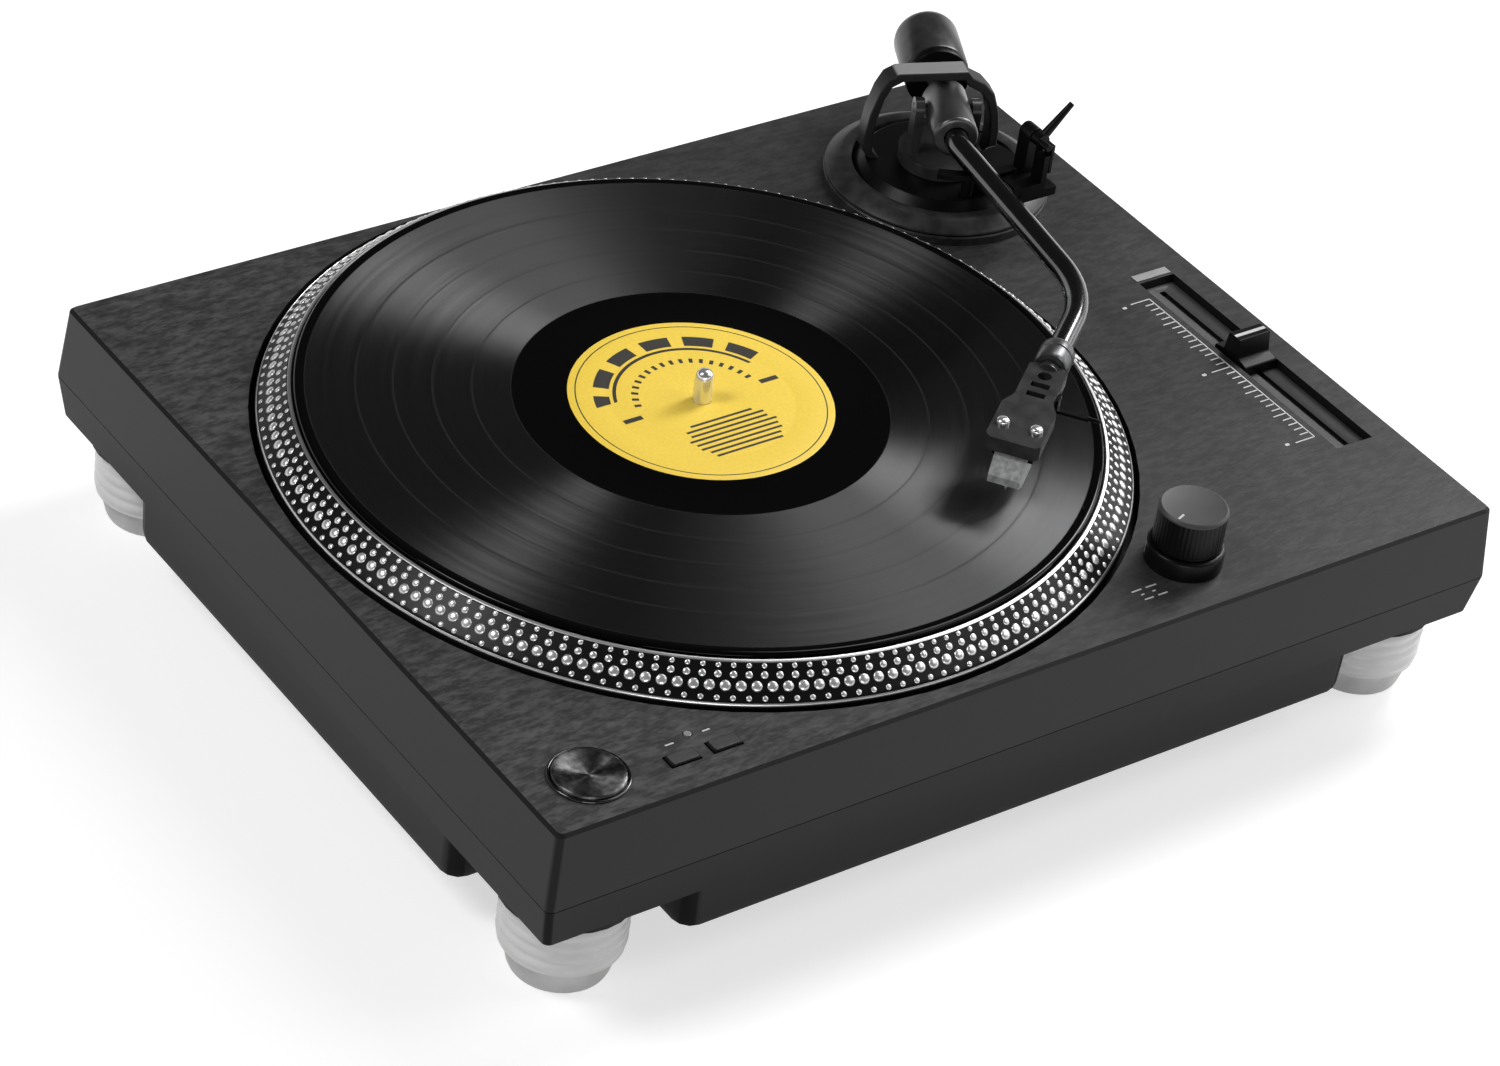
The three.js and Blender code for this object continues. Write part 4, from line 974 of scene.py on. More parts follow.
    @staticmethod
    def eased(piece: Piece, width: float, steps: int = 2, angle: float = 32) -> Piece:
        """Rounds the sharp edges.

        Args:
            piece: The piece.
            width: Width of the rounding.
            steps: How many faces the rounding has.
            angle: Edges sharper than this, in degrees, are rounded.

        Returns:
            The same piece.
        """
        Workshop.modify(
            piece, "BEVEL", width=width * MM, segments=steps, limit_method="ANGLE",
            angle_limit=math.radians(angle), use_clamp_overlap=True,
        )
        Workshop.smooth(piece, angle)
        return Workshop.modify(piece, "WEIGHTED_NORMAL", keep_sharp=True, weight=100)

    @staticmethod
    def cut(piece: Piece, tool: Piece) -> Piece:
        """Cuts a tool out of a piece and throws the tool away.

        Args:
            piece: The piece.
            tool: What is cut out of it.

        Returns:
            The same piece.
        """
        Workshop.modify(piece, "BOOLEAN", operation="DIFFERENCE", object=tool, solver="EXACT")
        bpy.data.objects.remove(tool)
        return piece

    @staticmethod
    def settle(piece: Piece, place: Matrix) -> Piece:
        """Moves a piece and writes its place into its mesh.

        Args:
            piece: The piece.
            place: The move, in metres.

        Returns:
            The same piece, with its object at the origin.
        """
        piece.matrix_world = place @ piece.matrix_world
        Workshop.take(piece)
        bpy.ops.object.transform_apply(location=True, rotation=True, scale=True)
        return piece

    @staticmethod
    def joined(name: str, pieces: Sequence[Piece]) -> Piece:
        """Joins pieces into one object.

        Args:
            name: The object's name.
            pieces: Two pieces or more.

        Returns:
            The first piece, which now holds them all.
        """
        Workshop.take(*pieces)
        bpy.ops.object.join()
        bpy.context.object.name = name
        return bpy.context.object

    @staticmethod
    def around(piece: Piece, count: int) -> Piece:
        """Repeats a piece round the Z axis through the origin.

        Args:
            piece: The piece.
            count: How many there are on the whole turn.

        Returns:
            The same piece, which now holds them all.
        """
        Workshop.take()
        bpy.ops.object.empty_add(rotation=(0, 0, FULL_TURN / count))
        turner = bpy.context.object
        Workshop.modify(
            piece, "ARRAY", count=count, use_relative_offset=False, use_object_offset=True,
            offset_object=turner,
        )
        bpy.data.objects.remove(turner)
        return piece

    @staticmethod
    def copied(piece: Piece, name: str, *places: Matrix) -> Piece:
        """Copies a piece to several places and drops the pattern.

        Args:
            piece: The pattern.
            name: The name of what is made.
            *places: Where the copies go.

        Returns:
            One object that holds the copies.
        """
        copies = []
        for place in places:
            twin = piece.copy()
            twin.data = piece.data.copy()
            bpy.context.scene.collection.objects.link(twin)
            copies.append(Workshop.settle(twin, place))
        bpy.data.objects.remove(piece)
        return Workshop.joined(name, copies)


def shift(x: float = 0, y: float = 0, z: float = 0, turn: float = 0) -> Matrix:
    """A move in millimetres with a turn about Z in degrees."""
    move = Matrix.Translation(Vector((x, y, z)) * MM)
    return move @ Matrix.Rotation(math.radians(turn), 4, "Z")


def rounded(x: float, y: float, width: float, depth: float, radius: float, steps: int = 6) -> Profile:
    """The outline of a rectangle with round corners.

    Args:
        x: Where its middle is along X.
        y: Where its middle is along Y.
        width: Its size along X.
        depth: Its size along Y.
        radius: Radius of its corners.
        steps: How many edges a corner has.

    Returns:
        The outline's points, anticlockwise.
    """
    points = []
    for corner, (right, back) in enumerate(((1, -1), (1, 1), (-1, 1), (-1, -1))):
        for step in range(steps + 1):
            angle = math.radians(90 * (corner - 1 + step / steps))
            points.append((
                x + right * (width / 2 - radius) + radius * math.cos(angle),
                y + back * (depth / 2 - radius) + radius * math.sin(angle),
            ))
    return points


class Assembly:
    """What every sub-assembly shares: the frame, the finishes and the way pieces are handed over."""

    def __init__(self, frame: dict, palette: Palette, origin: Vector) -> None:
        """Keeps the frame and the finishes.

        Args:
            frame: The loaded frame.
            palette: The finishes.
            origin: The spindle's place on the deck, in metres.
        """
        self.frame = frame
        self.palette = palette
        self.home = Matrix.Translation(origin)

    def at(self, x: float, y: float, z: float = 0, turn: float = 0) -> Matrix:
        """A place measured from the spindle, in millimetres and degrees."""
        return self.home @ shift(x, y, z, turn)

    def body_of(self, node: str) -> str:
        """The body that carries a node."""
        return self.frame["nodes"][node]["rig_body"]

    def dress(self, surface: Surface, *nodes: str) -> None:
        """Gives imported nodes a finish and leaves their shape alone.

        Args:
            surface: The finish.
            *nodes: The nodes.
        """
        for node in nodes:
            materials = self.frame["nodes"][node].data.materials
            materials.clear()
            materials.append(self.palette.get(surface))
            log.info("dressed %s as %s", node, surface.value[1])

    def fit(self, piece: Piece, body: str, surface: Surface, *replaced: str) -> None:
        """Hands a finished piece over.

        Args:
            piece: The piece, in its place.
            body: The body it moves with.
            surface: Its finish.
            *replaced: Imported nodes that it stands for.
        """
        piece.data.materials.clear()
        piece.data.materials.append(self.palette.get(surface))
        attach(piece, body)
        if replaced:
            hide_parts(*replaced)
        log.info("piece %s on %s: %d faces", piece.name, body, len(piece.data.polygons))

    def stand_in(self, piece: Piece, place: Matrix, surface: Surface, node: str) -> None:
        """Puts a piece in its place and hands it over in a node's stead."""
        self.fit(Workshop.settle(piece, place), self.body_of(node), surface, node)

    def refined(
        self, node: str, surface: Surface, width: float = 0.4, steps: int = 2, angle: float = 32
    ) -> None:
        """Stands a merged copy of a node with rounded edges in its stead.

        Args:
            node: The node.
            surface: The copy's finish.
            width: Width of the rounding.
            steps: How many faces the rounding has.
            angle: Edges sharper than this, in degrees, are rounded.
        """
        source = self.frame["nodes"][node]
        piece = source.copy()
        piece.data = source.data.copy()
        piece.name = f"{node}_shaped"
        piece.parent = None
        for key in list(piece.keys()):
            del piece[key]
        bpy.context.scene.collection.objects.link(piece)
        with Editing(piece):
            bpy.ops.mesh.remove_doubles(threshold=2 * MERGE)
            bpy.ops.mesh.dissolve_limited(angle_limit=math.radians(0.8))
        Workshop.eased(piece, width, steps, angle)
        self.fit(piece, self.body_of(node), surface, node)


# ---------------------------------------------------------------- cabinet


@dataclass
class Cabinet:
    """The deck and its walls, and the shell under them."""

    shop: Assembly

    def build(self) -> None:
        """Rounds the edges of both shells."""
        self.shop.refined("top_cabinet", Surface.DECK, 0.5, 2, 35)
        self.shop.refined("bottom_base", Surface.SHELL, 0.6, 2, 35)


@dataclass
class Feet:
    """The four feet: a smoky ringed drum on a soft tapered pad, measured down from the drum's top."""

    shop: Assembly
    radius: float = 23.3
    height: float = 22.6
    pad_height: float = 11.4
    bands: int = 4
    band_steps: int = 6
    band_depth: float = 0.8
    border: float = 1.6

    def drum(self) -> Profile:
        """The drum's outline, with rounded bands one above the other.

        Returns:
            Radius and height of each corner.
        """
        r, h = self.radius, self.height
        steps = self.bands * self.band_steps
        rings = [
            (
                r - self.band_depth * (1 - abs(math.sin(i * math.pi / self.band_steps))),
                -h + self.border + i * (h - 2 * self.border) / steps,
            )
            for i in range(steps + 1)
        ]
        foot = [(0, -h), (r - 1.8, -h), (r - 0.6, -h + 0.6)]
        return [*foot, *rings, (r - 0.6, -0.6), (r - 1.6, 0), (0, 0)]

    def pad(self) -> Profile:
        """The pad's outline: it tapers downwards and has a rounded lower edge.

        Returns:
            Radius and height of each corner.
        """
        r, top = self.radius, -self.height
        low = top - self.pad_height
        return [
            (0, low), (r - 6.5, low), (r - 5.2, low + 0.5), (r - 4.6, low + 1.8),
            (r - 3.1, top - 3.5), (r - 2.6, top - 1), (r - 3.2, top), (0, top),
        ]

    def build(self) -> None:
        """Models one drum and one pad for each corner."""
        for node in [n for n in self.shop.frame["nodes"] if n.startswith("foot_") and "pad" not in n]:
            low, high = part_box(node)
            place = Matrix.Translation(((low.x + high.x) / 2, (low.y + high.y) / 2, high.z))
            drum = Workshop.turned(f"{node}_drum", self.drum(), 72, 60)
            self.shop.stand_in(drum, place, Surface.FOOT, node)
            pad = Workshop.turned(f"{node}_pad", self.pad(), 72, 50)
            self.shop.stand_in(pad, place, Surface.RUBBER, node.replace("foot_", "foot_pad_"))


# ---------------------------------------------------------------- platter and record


@dataclass
class Platter:
    """The cast platter with its rows of mirror dots, and the mat on it.

    Attributes:
        shop: The shared bench.
        bore: Radius of the hole.
        hub: Radius of the hub underneath.
        skirt: Radius of the upright outer wall.
        skirt_top: Height where the slope begins.
        skirt_bottom: Height of the wall's lower edge.
        wall: Inner radius of that wall.
        rim: Radius where the slope ends.
        rim_top: Height where the slope ends.
        lip: Width of the bright lip.
        floor: Height of the hollow that the mat lies in.
        mat: Radius of the mat.
        mat_top: Height of its upper face.
        dots: How many dots each row has.
        rows: Share of the slope, dot radius and offset of each row, the offset in steps of the row.
        stud: Height of a dot's wall.
        sunk: How far a dot is sunk into the slope.
    """

    shop: Assembly
    bore: float = 3.85
    hub: float = 14.0
    skirt: float = 163.8
    skirt_top: float = 1.0
    skirt_bottom: float = -7.0
    wall: float = 157.8
    rim: float = 152.8
    rim_top: float = 11.6
    lip: float = 1.35
    floor: float = 9.0
    mat: float = 147.5
    mat_top: float = 11.35
    dots: int = 180
    rows: tuple[tuple[float, float, float], ...] = (
        (0.9, 0.95, 0), (0.69, 1.35, 0), (0.43, 2.0, 0.5), (0.15, 1.05, 0),
    )
    stud: float = 0.15
    sunk: float = 0.1

    def slope(self, share: float) -> tuple[float, float]:
        """Radius and height on the slope, from 0 at its foot to 1 at the rim."""
        rise = self.rim_top - self.skirt_top
        return self.skirt + (self.rim - self.skirt) * share, self.skirt_top + rise * share

    def dot_row(self, name: str, share: float, radius: float, offset: float) -> Piece:
        """One row of low round studs, sunk into the slope.

        Args:
            name: The row's name.
            share: Where it is on the slope.
            radius: A dot's radius.
            offset: How far the row is turned, in steps of the row.

        Returns:
            The row, as one object.
        """
        Workshop.take()
        bpy.ops.mesh.primitive_circle_add(vertices=12, radius=radius * MM, fill_type="NGON")
        stud = bpy.context.object
        stud.name = name
        with Editing(stud, "FACE"):
            bpy.ops.mesh.extrude_region_move(TRANSFORM_OT_translate={"value": (0, 0, self.stud * MM)})
            for inset, rise in ((0.2, 0.14), (0.35, 0.12)):
                bpy.ops.mesh.inset(thickness=radius * inset * MM)
                bpy.ops.transform.translate(value=(0, 0, radius * rise * MM))
            Editing.face_outwards()
        out, up = self.slope(share)
        tilt = math.atan2(self.skirt - self.rim, self.rim_top - self.skirt_top)
        lean = Matrix.Rotation(QUARTER_TURN - tilt, 4, "Y")
        foot = shift(out - self.sunk * math.cos(tilt), 0, up - self.sunk * math.sin(tilt))
        Workshop.settle(stud, shift(turn=offset * 360 / self.dots) @ foot @ lean)
        return Workshop.smooth(Workshop.around(stud, self.dots), 60)

    def build(self) -> None:
        """Builds the casting, its bright lip and ring, the dots and the mat."""
        home, body = self.shop.home, self.shop.body_of("platter")
        bore, skirt, rim, floor = self.bore, self.skirt, self.rim, self.floor
        inner, lip_top, mat = rim - self.lip, self.rim_top + 0.15, self.mat
        casting = Workshop.turned(
            "platter_casting",
            [
                (bore, floor), (bore, -1.2), (self.hub, -1.2), (self.hub, 4), (146.8, 4), (self.wall, -3),
                (self.wall, self.skirt_bottom), (skirt - 0.4, self.skirt_bottom),
                (skirt, self.skirt_bottom + 0.4), (skirt, 0.4), self.slope(0.045),
                *[self.slope(i / 8) for i in range(1, 8)], self.slope(0.96),
                (inner - 0.2, self.rim_top - 0.3), (inner - 0.6, floor),
            ],
            180,
        )
        self.shop.stand_in(casting, home, Surface.CASTING, "platter")
        lip = Workshop.turned(
            "platter_lip",
            [
                (inner, floor + 0.2), (inner, lip_top - 0.35), (inner + 0.3, lip_top), (rim - 0.5, lip_top),
                (rim + 0.15, lip_top - 0.4), (rim, lip_top - 1.05), (inner + 0.4, floor + 0.2),
            ],
            180, 40,
        )
        self.shop.fit(Workshop.settle(lip, home), body, Surface.LIP)
        ring = Workshop.turned(
            "platter_edge_ring",
            [
                (skirt - 0.6, 0.2), (skirt + 0.15, 0.2), (skirt + 0.2, 0.6), (skirt + 0.1, 1.0),
                (skirt - 0.3, 1.45), (skirt - 0.7, 1.2),
            ],
            180, 60,
        )
        self.shop.fit(Workshop.settle(ring, home), body, Surface.LIP)
        studs = [self.dot_row(f"dots_{i}", *row) for i, row in enumerate(self.rows)]
        self.shop.fit(Workshop.settle(Workshop.joined("strobe_dots", studs), home), body, Surface.MIRROR)
        slip_mat = Workshop.turned(
            "slip_mat",
            [
                (bore + 0.15, floor), (mat - 0.6, floor), (mat - 0.1, floor + 0.4),
                (mat, self.mat_top - 0.45), (mat - 0.6, self.mat_top), (bore + 0.35, self.mat_top),
                (bore, self.mat_top - 0.35),
            ],
            120,
        )
        self.shop.stand_in(slip_mat, home, Surface.FELT, "slipmat")


@dataclass
class Record:
    """The record with its raised edge, its label and the spindle through both.

    Attributes:
        shop: The shared bench.
        hole: Radius of the hole.
        edge: Radius of the record.
        top: Height of the record's middle.
        grooves: Height of the grooved band.
        run_out: Height of the smooth band within it.
        label: Radius of the label.
        label_top: Height of its upper face.
        spindle: Radius of the spindle.
        tip: Height of the spindle's tip.
        foot: Height of its lower end.
    """

    shop: Assembly
    hole: float = 3.65
    edge: float = 150.8
    top: float = 13.2
    grooves: float = 13.06
    run_out: float = 13.0
    label: float = 50.0
    label_top: float = 13.4
    spindle: float = 3.55
    tip: float = 27.0
    foot: float = -49.7

    def build(self) -> None:
        """Builds the disc, the label and the spindle."""
        home, hole, edge, label = self.shop.home, self.hole, self.edge, self.label
        disc = Workshop.turned(
            "record_disc",
            [
                (hole, 11.5), (edge - 1.2, 11.4), (edge - 0.3, 11.7), (edge, 12.3), (edge - 0.3, 12.95),
                (edge - 1, 13.3), (edge - 2.2, 13.32), (edge - 3.4, 13.12), (edge - 4.6, self.grooves),
                (label + 21.2, self.grooves), (label + 20.2, self.run_out), (label + 2.5, self.run_out),
                (label + 1.6, 13.12), (label + 0.8, self.top), (hole, self.top),
            ],
            240, 50,
        )
        self.shop.stand_in(disc, home, Surface.VINYL, "record")
        low, high = self.top - 0.02, self.label_top
        paper = Workshop.turned(
            "paper_label",
            [
                (hole, low), (label - 0.2, low), (label, high - 0.1), (label - 0.3, high), (36.5, high),
                (36, high - 0.06), (35, high - 0.06), (34.5, high), (3.9, high + 0.04), (hole, high),
            ],
            144, 40,
        )
        self.shop.stand_in(paper, home, Surface.LABEL, "record_label")
        r, tip = self.spindle, self.tip
        post = Workshop.turned(
            "spindle_post",
            [
                (0, self.foot), (r - 0.35, self.foot), (r, self.foot + 0.4), (r, tip - 4.4),
                (r - 0.05, tip - 3.6), (r - 0.25, tip - 2.4), (r - 0.65, tip - 1.4), (2.2, tip - 0.6),
                (1.3, tip - 0.15), (0, tip),
            ],
            48, 50,
        )
        self.shop.stand_in(post, home, Surface.BRIGHT, "spindle")


# ---------------------------------------------------------------- controls


@dataclass
class Buttons:
    """The round start and stop button, the two speed keys with their lamp, and the small marks.

    Attributes:
        shop: The shared bench.
        cap: Radius of the start button.
        cap_top: Height of its rim.
        dish: Radius of the hollow in its top.
        hollow: Depth of that hollow.
        ring: Inner and outer radius of the ring round it.
        marks: Middle and length of each printed mark.
        mark_width: Width of a mark.
        mark_height: Thickness of the print.
    """

    shop: Assembly
    cap: float = 13.2
    cap_top: float = 1.9
    dish: float = 11.6
    hollow: float = 1.1
    ring: Span = (13.5, 14.7)
    marks: tuple[tuple[float, float, float], ...] = (
        (-113, -148.8, 3.6), (-97.3, -148.0, 3.2), (89.5, -152.6, 4.6), (96.2, -152.6, 5.0),
        (91, -158.2, 4.2), (97.4, -158.2, 4.4), (90.2, -155.4, 1.6), (95.4, -155.4, 1.6),
    )
    mark_width: float = 0.7
    mark_height: float = 0.06

    def build(self) -> None:
        """Builds the buttons at rest."""
        at = self.shop.at(*START_BUTTON)
        inner, outer = self.ring
        bezel = Workshop.turned(
            "start_bezel",
            [
                (inner, 0), (outer, 0), (outer - 0.02, 0.45), (outer - 0.15, 0.8), (outer - 0.4, 0.97),
                (outer - 0.65, 1), (inner + 0.3, 0.95), (inner + 0.1, 0.8), (inner, 0.5),
            ],
            96, 60,
        )
        self.shop.stand_in(bezel, at, Surface.GLOSS, "start_stop_bezel")
        r, top = self.cap, self.cap_top
        radii = [self.dish, *[1.5 * i for i in range(7, 0, -1)]]
        dish = [(radius, top - self.hollow * (1 - (radius / self.dish) ** 2)) for radius in radii]
        cap = Workshop.turned(
            "start_button_cap",
            [
                (0, -11.4), (4, -11.4), (4, -4.5), (r, -4.5), (r, top - 0.9), (r - 0.1, top - 0.45),
                (r - 0.3, top - 0.15), (r - 0.7, top), *dish, (0, top - self.hollow),
            ],
            96, 60,
        )
        self.shop.stand_in(cap, at, Surface.DISH, "start_stop_button")
        for node in ("speed_button_33", "speed_button_45"):
            self.shop.refined(node, Surface.KEY, 0.35, 3, 30)
        self.shop.refined("speed_led", Surface.LENS, 0.25)
        self.shop.dress(Surface.PLASTIC, "start_stop_switch", "speed_switch_33", "speed_switch_45")
        self.shop.dress(Surface.BOARD, "button_board")
        self.print_marks()

    def print_marks(self) -> None:
        """Plain pale marks by the speed keys and by the power knob."""
        dashes = [
            Workshop.plate("mark", rounded(x, y, length, self.mark_width, 0.3), 0, self.mark_height)
            for x, y, length in self.marks
        ]
        piece = Workshop.settle(Workshop.joined("speed_marks", dashes), self.shop.home)
        self.shop.fit(piece, self.shop.body_of("top_cabinet"), Surface.PRINT)


@dataclass
class PowerKnob:
    """The strobe's tower and the power knob on it.

    Attributes:
        shop: The shared bench.
        x: Where its axis is along X.
        y: Where its axis is along Y.
        tower: Radius of the tower.
        tower_top: Height of the tower.
        bore: Radius of the hole through the tower.
        grip: Radius of the knob.
        grip_top: Height of the knob's ribbed wall.
        ribs: How many ribs the wall has.
        rib_depth: How deep the grooves between them are.
        aim: Which way the pointer points, in degrees.
    """

    shop: Assembly
    x: float = 117.5
    y: float = -145.0
    tower: float = 14.8
    tower_top: float = 8.0
    bore: float = 3.3
    grip: float = 13.0
    grip_top: float = 23.2
    ribs: int = 48
    rib_depth: float = 0.22
    aim: float = 200.0

    def build(self) -> None:
        """Builds the tower with its lamp window, then the knob."""
        at, r, top = self.shop.at(self.x, self.y), self.tower, self.tower_top
        tower = Workshop.turned(
            "strobe_tower_shaped",
            [
                (self.bore, 0), (r, 0), (r, 0.5), (r - 0.1, top - 1.2), (r - 0.4, top - 0.5),
                (r - 1, top - 0.05), (r - 1.8, top), (self.bore, top),
            ],
            96, 50,
        )
        window = Workshop.bar("window", (10, -4.8, 0.9), (20, 4.8, 6.5), 0.2)
        Workshop.settle(window, shift(turn=math.degrees(math.atan2(-self.y, -self.x))))
        self.shop.stand_in(Workshop.cut(tower, window), at, Surface.PLASTIC, "strobe_tower")
        self.shop.refined("strobe_lens", Surface.LENS, 0.4, 3)
        self.knob(at)
        self.shop.dress(Surface.GUNMETAL, "power_switch")

    def knob(self, at: Matrix) -> None:
        """The ribbed knob with its shaft, its grey cap and the pointer.

        Args:
            at: The knob's place.
        """
        r, top, count = self.grip, self.grip_top, 2 * self.ribs
        outline = [
            (
                (r - self.rib_depth * (i % 2)) * math.cos(i * FULL_TURN / count),
                (r - self.rib_depth * (i % 2)) * math.sin(i * FULL_TURN / count),
            )
            for i in range(count)
        ]
        wall = Workshop.plate("knob_grip", outline, self.tower_top + 0.6, top)
        cap = Workshop.turned(
            "knob_cap",
            [
                (0, top - 0.2), (r + 0.05, top - 0.2), (r + 0.1, top + 0.3), (r - 0.2, top + 0.9),
                (r - 0.8, top + 1.3), (r - 1.6, top + 1.22), (r - 2, top + 1.1), (0, top + 1.1),
            ],
            96, 30,
        )
        shaft = Workshop.turned(
            "knob_shaft",
            [(0, -5.5), (3, -5.5), (3, 8.3), (r - 0.4, 8.3), (r, 8.7), (r, 9.4), (0, 9.4)],
            72,
        )
        knob = Workshop.joined("power_knob_grip", [wall, shaft])
        self.shop.stand_in(knob, at, Surface.PLASTIC, "power_knob")
        self.shop.stand_in(cap, at, Surface.GREY_CAP, "power_knob")
        pointer = Workshop.bar("knob_pointer", (7.6, -0.45, top + 0.8), (11.2, 0.45, top + 1.22), 0.12)
        Workshop.settle(pointer, at @ shift(turn=self.aim))
        self.shop.fit(pointer, self.shop.body_of("power_knob"), Surface.PRINT)


@dataclass
class PitchFader:
    """The pitch slider in its recess, with a comb of marks beside it.

    Attributes:
        shop: The shared bench.
        left: Left edge of the recess.
        right: Right edge of the recess.
        front: Front end of the recess.
        back: Back end of the recess.
        recess: Depth of the recess.
        slot: Where the slot's middle is along X.
        slot_half: Half of the slot's width.
        slot_end: How far the slot stops before each end of the recess.
        rest: Where the knob's middle is along Y.
        grip_half: Half of the knob's width.
        line: Where the comb's spine is along X.
        comb: Front and back end of the comb.
        ticks: How many ticks the comb has.
        reaches: Length of every fifteenth tick, of every fifth and of the others.
        stops: Where the three round marks are along X.
        print_height: Thickness of the print.
    """

    shop: Assembly
    left: float = 217.0
    right: float = 234.5
    front: float = -116.6
    back: float = 5.5
    recess: float = 4.0
    slot: float = 226.0
    slot_half: float = 1.4
    slot_end: float = 4.2
    rest: float = -50.55
    grip_half: float = 7.8
    line: float = 213.9
    comb: Span = (-106.6, -4.7)
    ticks: int = 31
    reaches: tuple[float, float, float] = (9.5, 6.5, 4.6)
    stops: float = 200.6
    print_height: float = 0.05

    def build(self) -> None:
        """Builds the lined recess, the knob and the marks."""
        home, cabinet = self.shop.home, self.shop.body_of("top_cabinet")
        low = (self.left, self.front, -self.recess)
        # The lining's lighter finish is painted light that makes up for the shade in the recess.
        lining = Workshop.bar("recess_floor", low, (self.right, self.back, 0.2 - self.recess), 0.05)
        slit = Workshop.bar(
            "slit",
            (self.slot - self.slot_half, self.front + self.slot_end, -9),
            (self.slot + self.slot_half, self.back - self.slot_end, 9),
        )
        self.shop.fit(Workshop.settle(Workshop.cut(lining, slit), home), cabinet, Surface.RECESS)
        stop = Workshop.bar("far_stop", (self.left - 0.4, 6.6, 0), (self.right - 0.6, 10.6, 0.5), 0.15)
        self.shop.fit(Workshop.settle(stop, home), cabinet, Surface.PALE)
        self.knob()
        marks = Workshop.settle(self.comb_marks(), home)
        self.shop.fit(marks, cabinet, Surface.PRINT)
        self.shop.dress(Surface.STEEL, "pitch_fader_body")

    def knob(self) -> None:
        """The knob: a wide sloping foot and a ridged grip with a light strip."""
        at = self.shop.at((self.left + self.right) / 2, self.rest)
        right = [(9.5, -3.7), (9.5, 0.2), (9.1, 0.75), (4.9, 1.7), (4.5, 2.1), (3.4, 9.2), (3.0, 9.8)]
        side = [(-9.5, -3.7), *right, *[(-y, z) for y, z in reversed(right[1:])]]
        grip = Workshop.plate("fader_grip", side, -self.grip_half, self.grip_half, 0.35)
        upright = Matrix.Rotation(QUARTER_TURN, 4, "Z") @ Matrix.Rotation(QUARTER_TURN, 4, "X")
        Workshop.settle(grip, upright)
        blade = Workshop.bar("blade", (-0.05, -3, -14), (1.05, 3, -3.2), 0.1)
        piece = Workshop.joined("fader_knob", [grip, blade])
        self.shop.stand_in(piece, at, Surface.PLASTIC, "pitch_fader_knob")
        strip = Workshop.bar("fader_strip", (-7.5, -0.8, 9.6), (7.5, 0.8, 9.9), 0.1)
        self.shop.fit(Workshop.settle(strip, at), self.shop.body_of("pitch_fader_knob"), Surface.PRINT)

    def comb_marks(self) -> Piece:
        """A line of ticks along the slot, with round marks at both ends and in the middle.

        Returns:
            The marks, as one object.
        """
        (first, last), top = self.comb, self.print_height
        pieces = [Workshop.bar("line", (self.line - 0.3, first, 0), (self.line + 0.25, last, top), 0.02)]
        long, middle, short = self.reaches
        for i in range(self.ticks):
            y = first + (last - first) * i / (self.ticks - 1)
            reach = long if i % 15 == 0 else middle if i % 5 == 0 else short
            ends = (self.line - reach, y - 0.3, 0), (self.line, y + 0.3, top)
            pieces.append(Workshop.bar("tick", *ends, 0.02))
        for y in (first + 0.5, (first + last) / 2, last - 1):
            pieces.append(Workshop.plate("stop", rounded(self.stops, y, 2, 1.4, 0.6), 0, top))
        return Workshop.joined("pitch_marks", pieces)


# ---------------------------------------------------------------- tonearm


@dataclass
class ArmBase:
    """The round base with its height ring, the turret, the arch and the cueing parts."""

    shop: Assembly
    bore: float = 34.9
    collar: float = 46.0
    collar_top: float = 4.0
    ring: float = 45.7
    ring_low: float = 4.3
    ring_top: float = 9.0

    def build(self) -> None:
        """Builds all that stands still, and the small moving controls."""
        at, bore, r, top = self.shop.at(*ARM_AXIS), self.bore, self.collar, self.collar_top
        collar = Workshop.turned(
            "base_collar",
            [(bore, 0), (r, 0), (r, top - 0.6), (r - 0.5, top - 0.05), (r - 1.1, top), (bore, top)],
            144,
        )
        self.shop.stand_in(collar, at, Surface.RING, "arm_base_collar")
        r, low, top = self.ring, self.ring_low, self.ring_top
        ring = Workshop.turned(
            "height_ring_shaped",
            [
                (bore, low), (r - 0.4, low), (r, low + 0.4), (r, low + 1), (r - 0.3, low + 1.4),
                (r - 5.5, top - 0.25), (r - 6.3, top), (bore + 0.7, top), (bore + 0.2, top - 0.2),
                (bore, top - 0.6),
            ],
            144, 40,
        )
        self.shop.stand_in(ring, at, Surface.RING, "height_ring")
        for row in (
            ("arm_turret", Surface.PLASTIC, 0.4, 2, 34),
            ("arm_arch", Surface.ARCH, 0.7, 3, 40),
            ("anti_skate_dial", Surface.BRUSHED_DARK, 0.3),
            ("arm_rest", Surface.PLASTIC, 0.3),
            ("rest_clip", Surface.PLASTIC, 0.2),
            ("cue_post", Surface.PLASTIC, 0.4),
            ("cue_lever", Surface.PLASTIC, 0.25),
            ("cue_lift", Surface.PLASTIC, 0.3),
        ):
            self.shop.refined(*row)


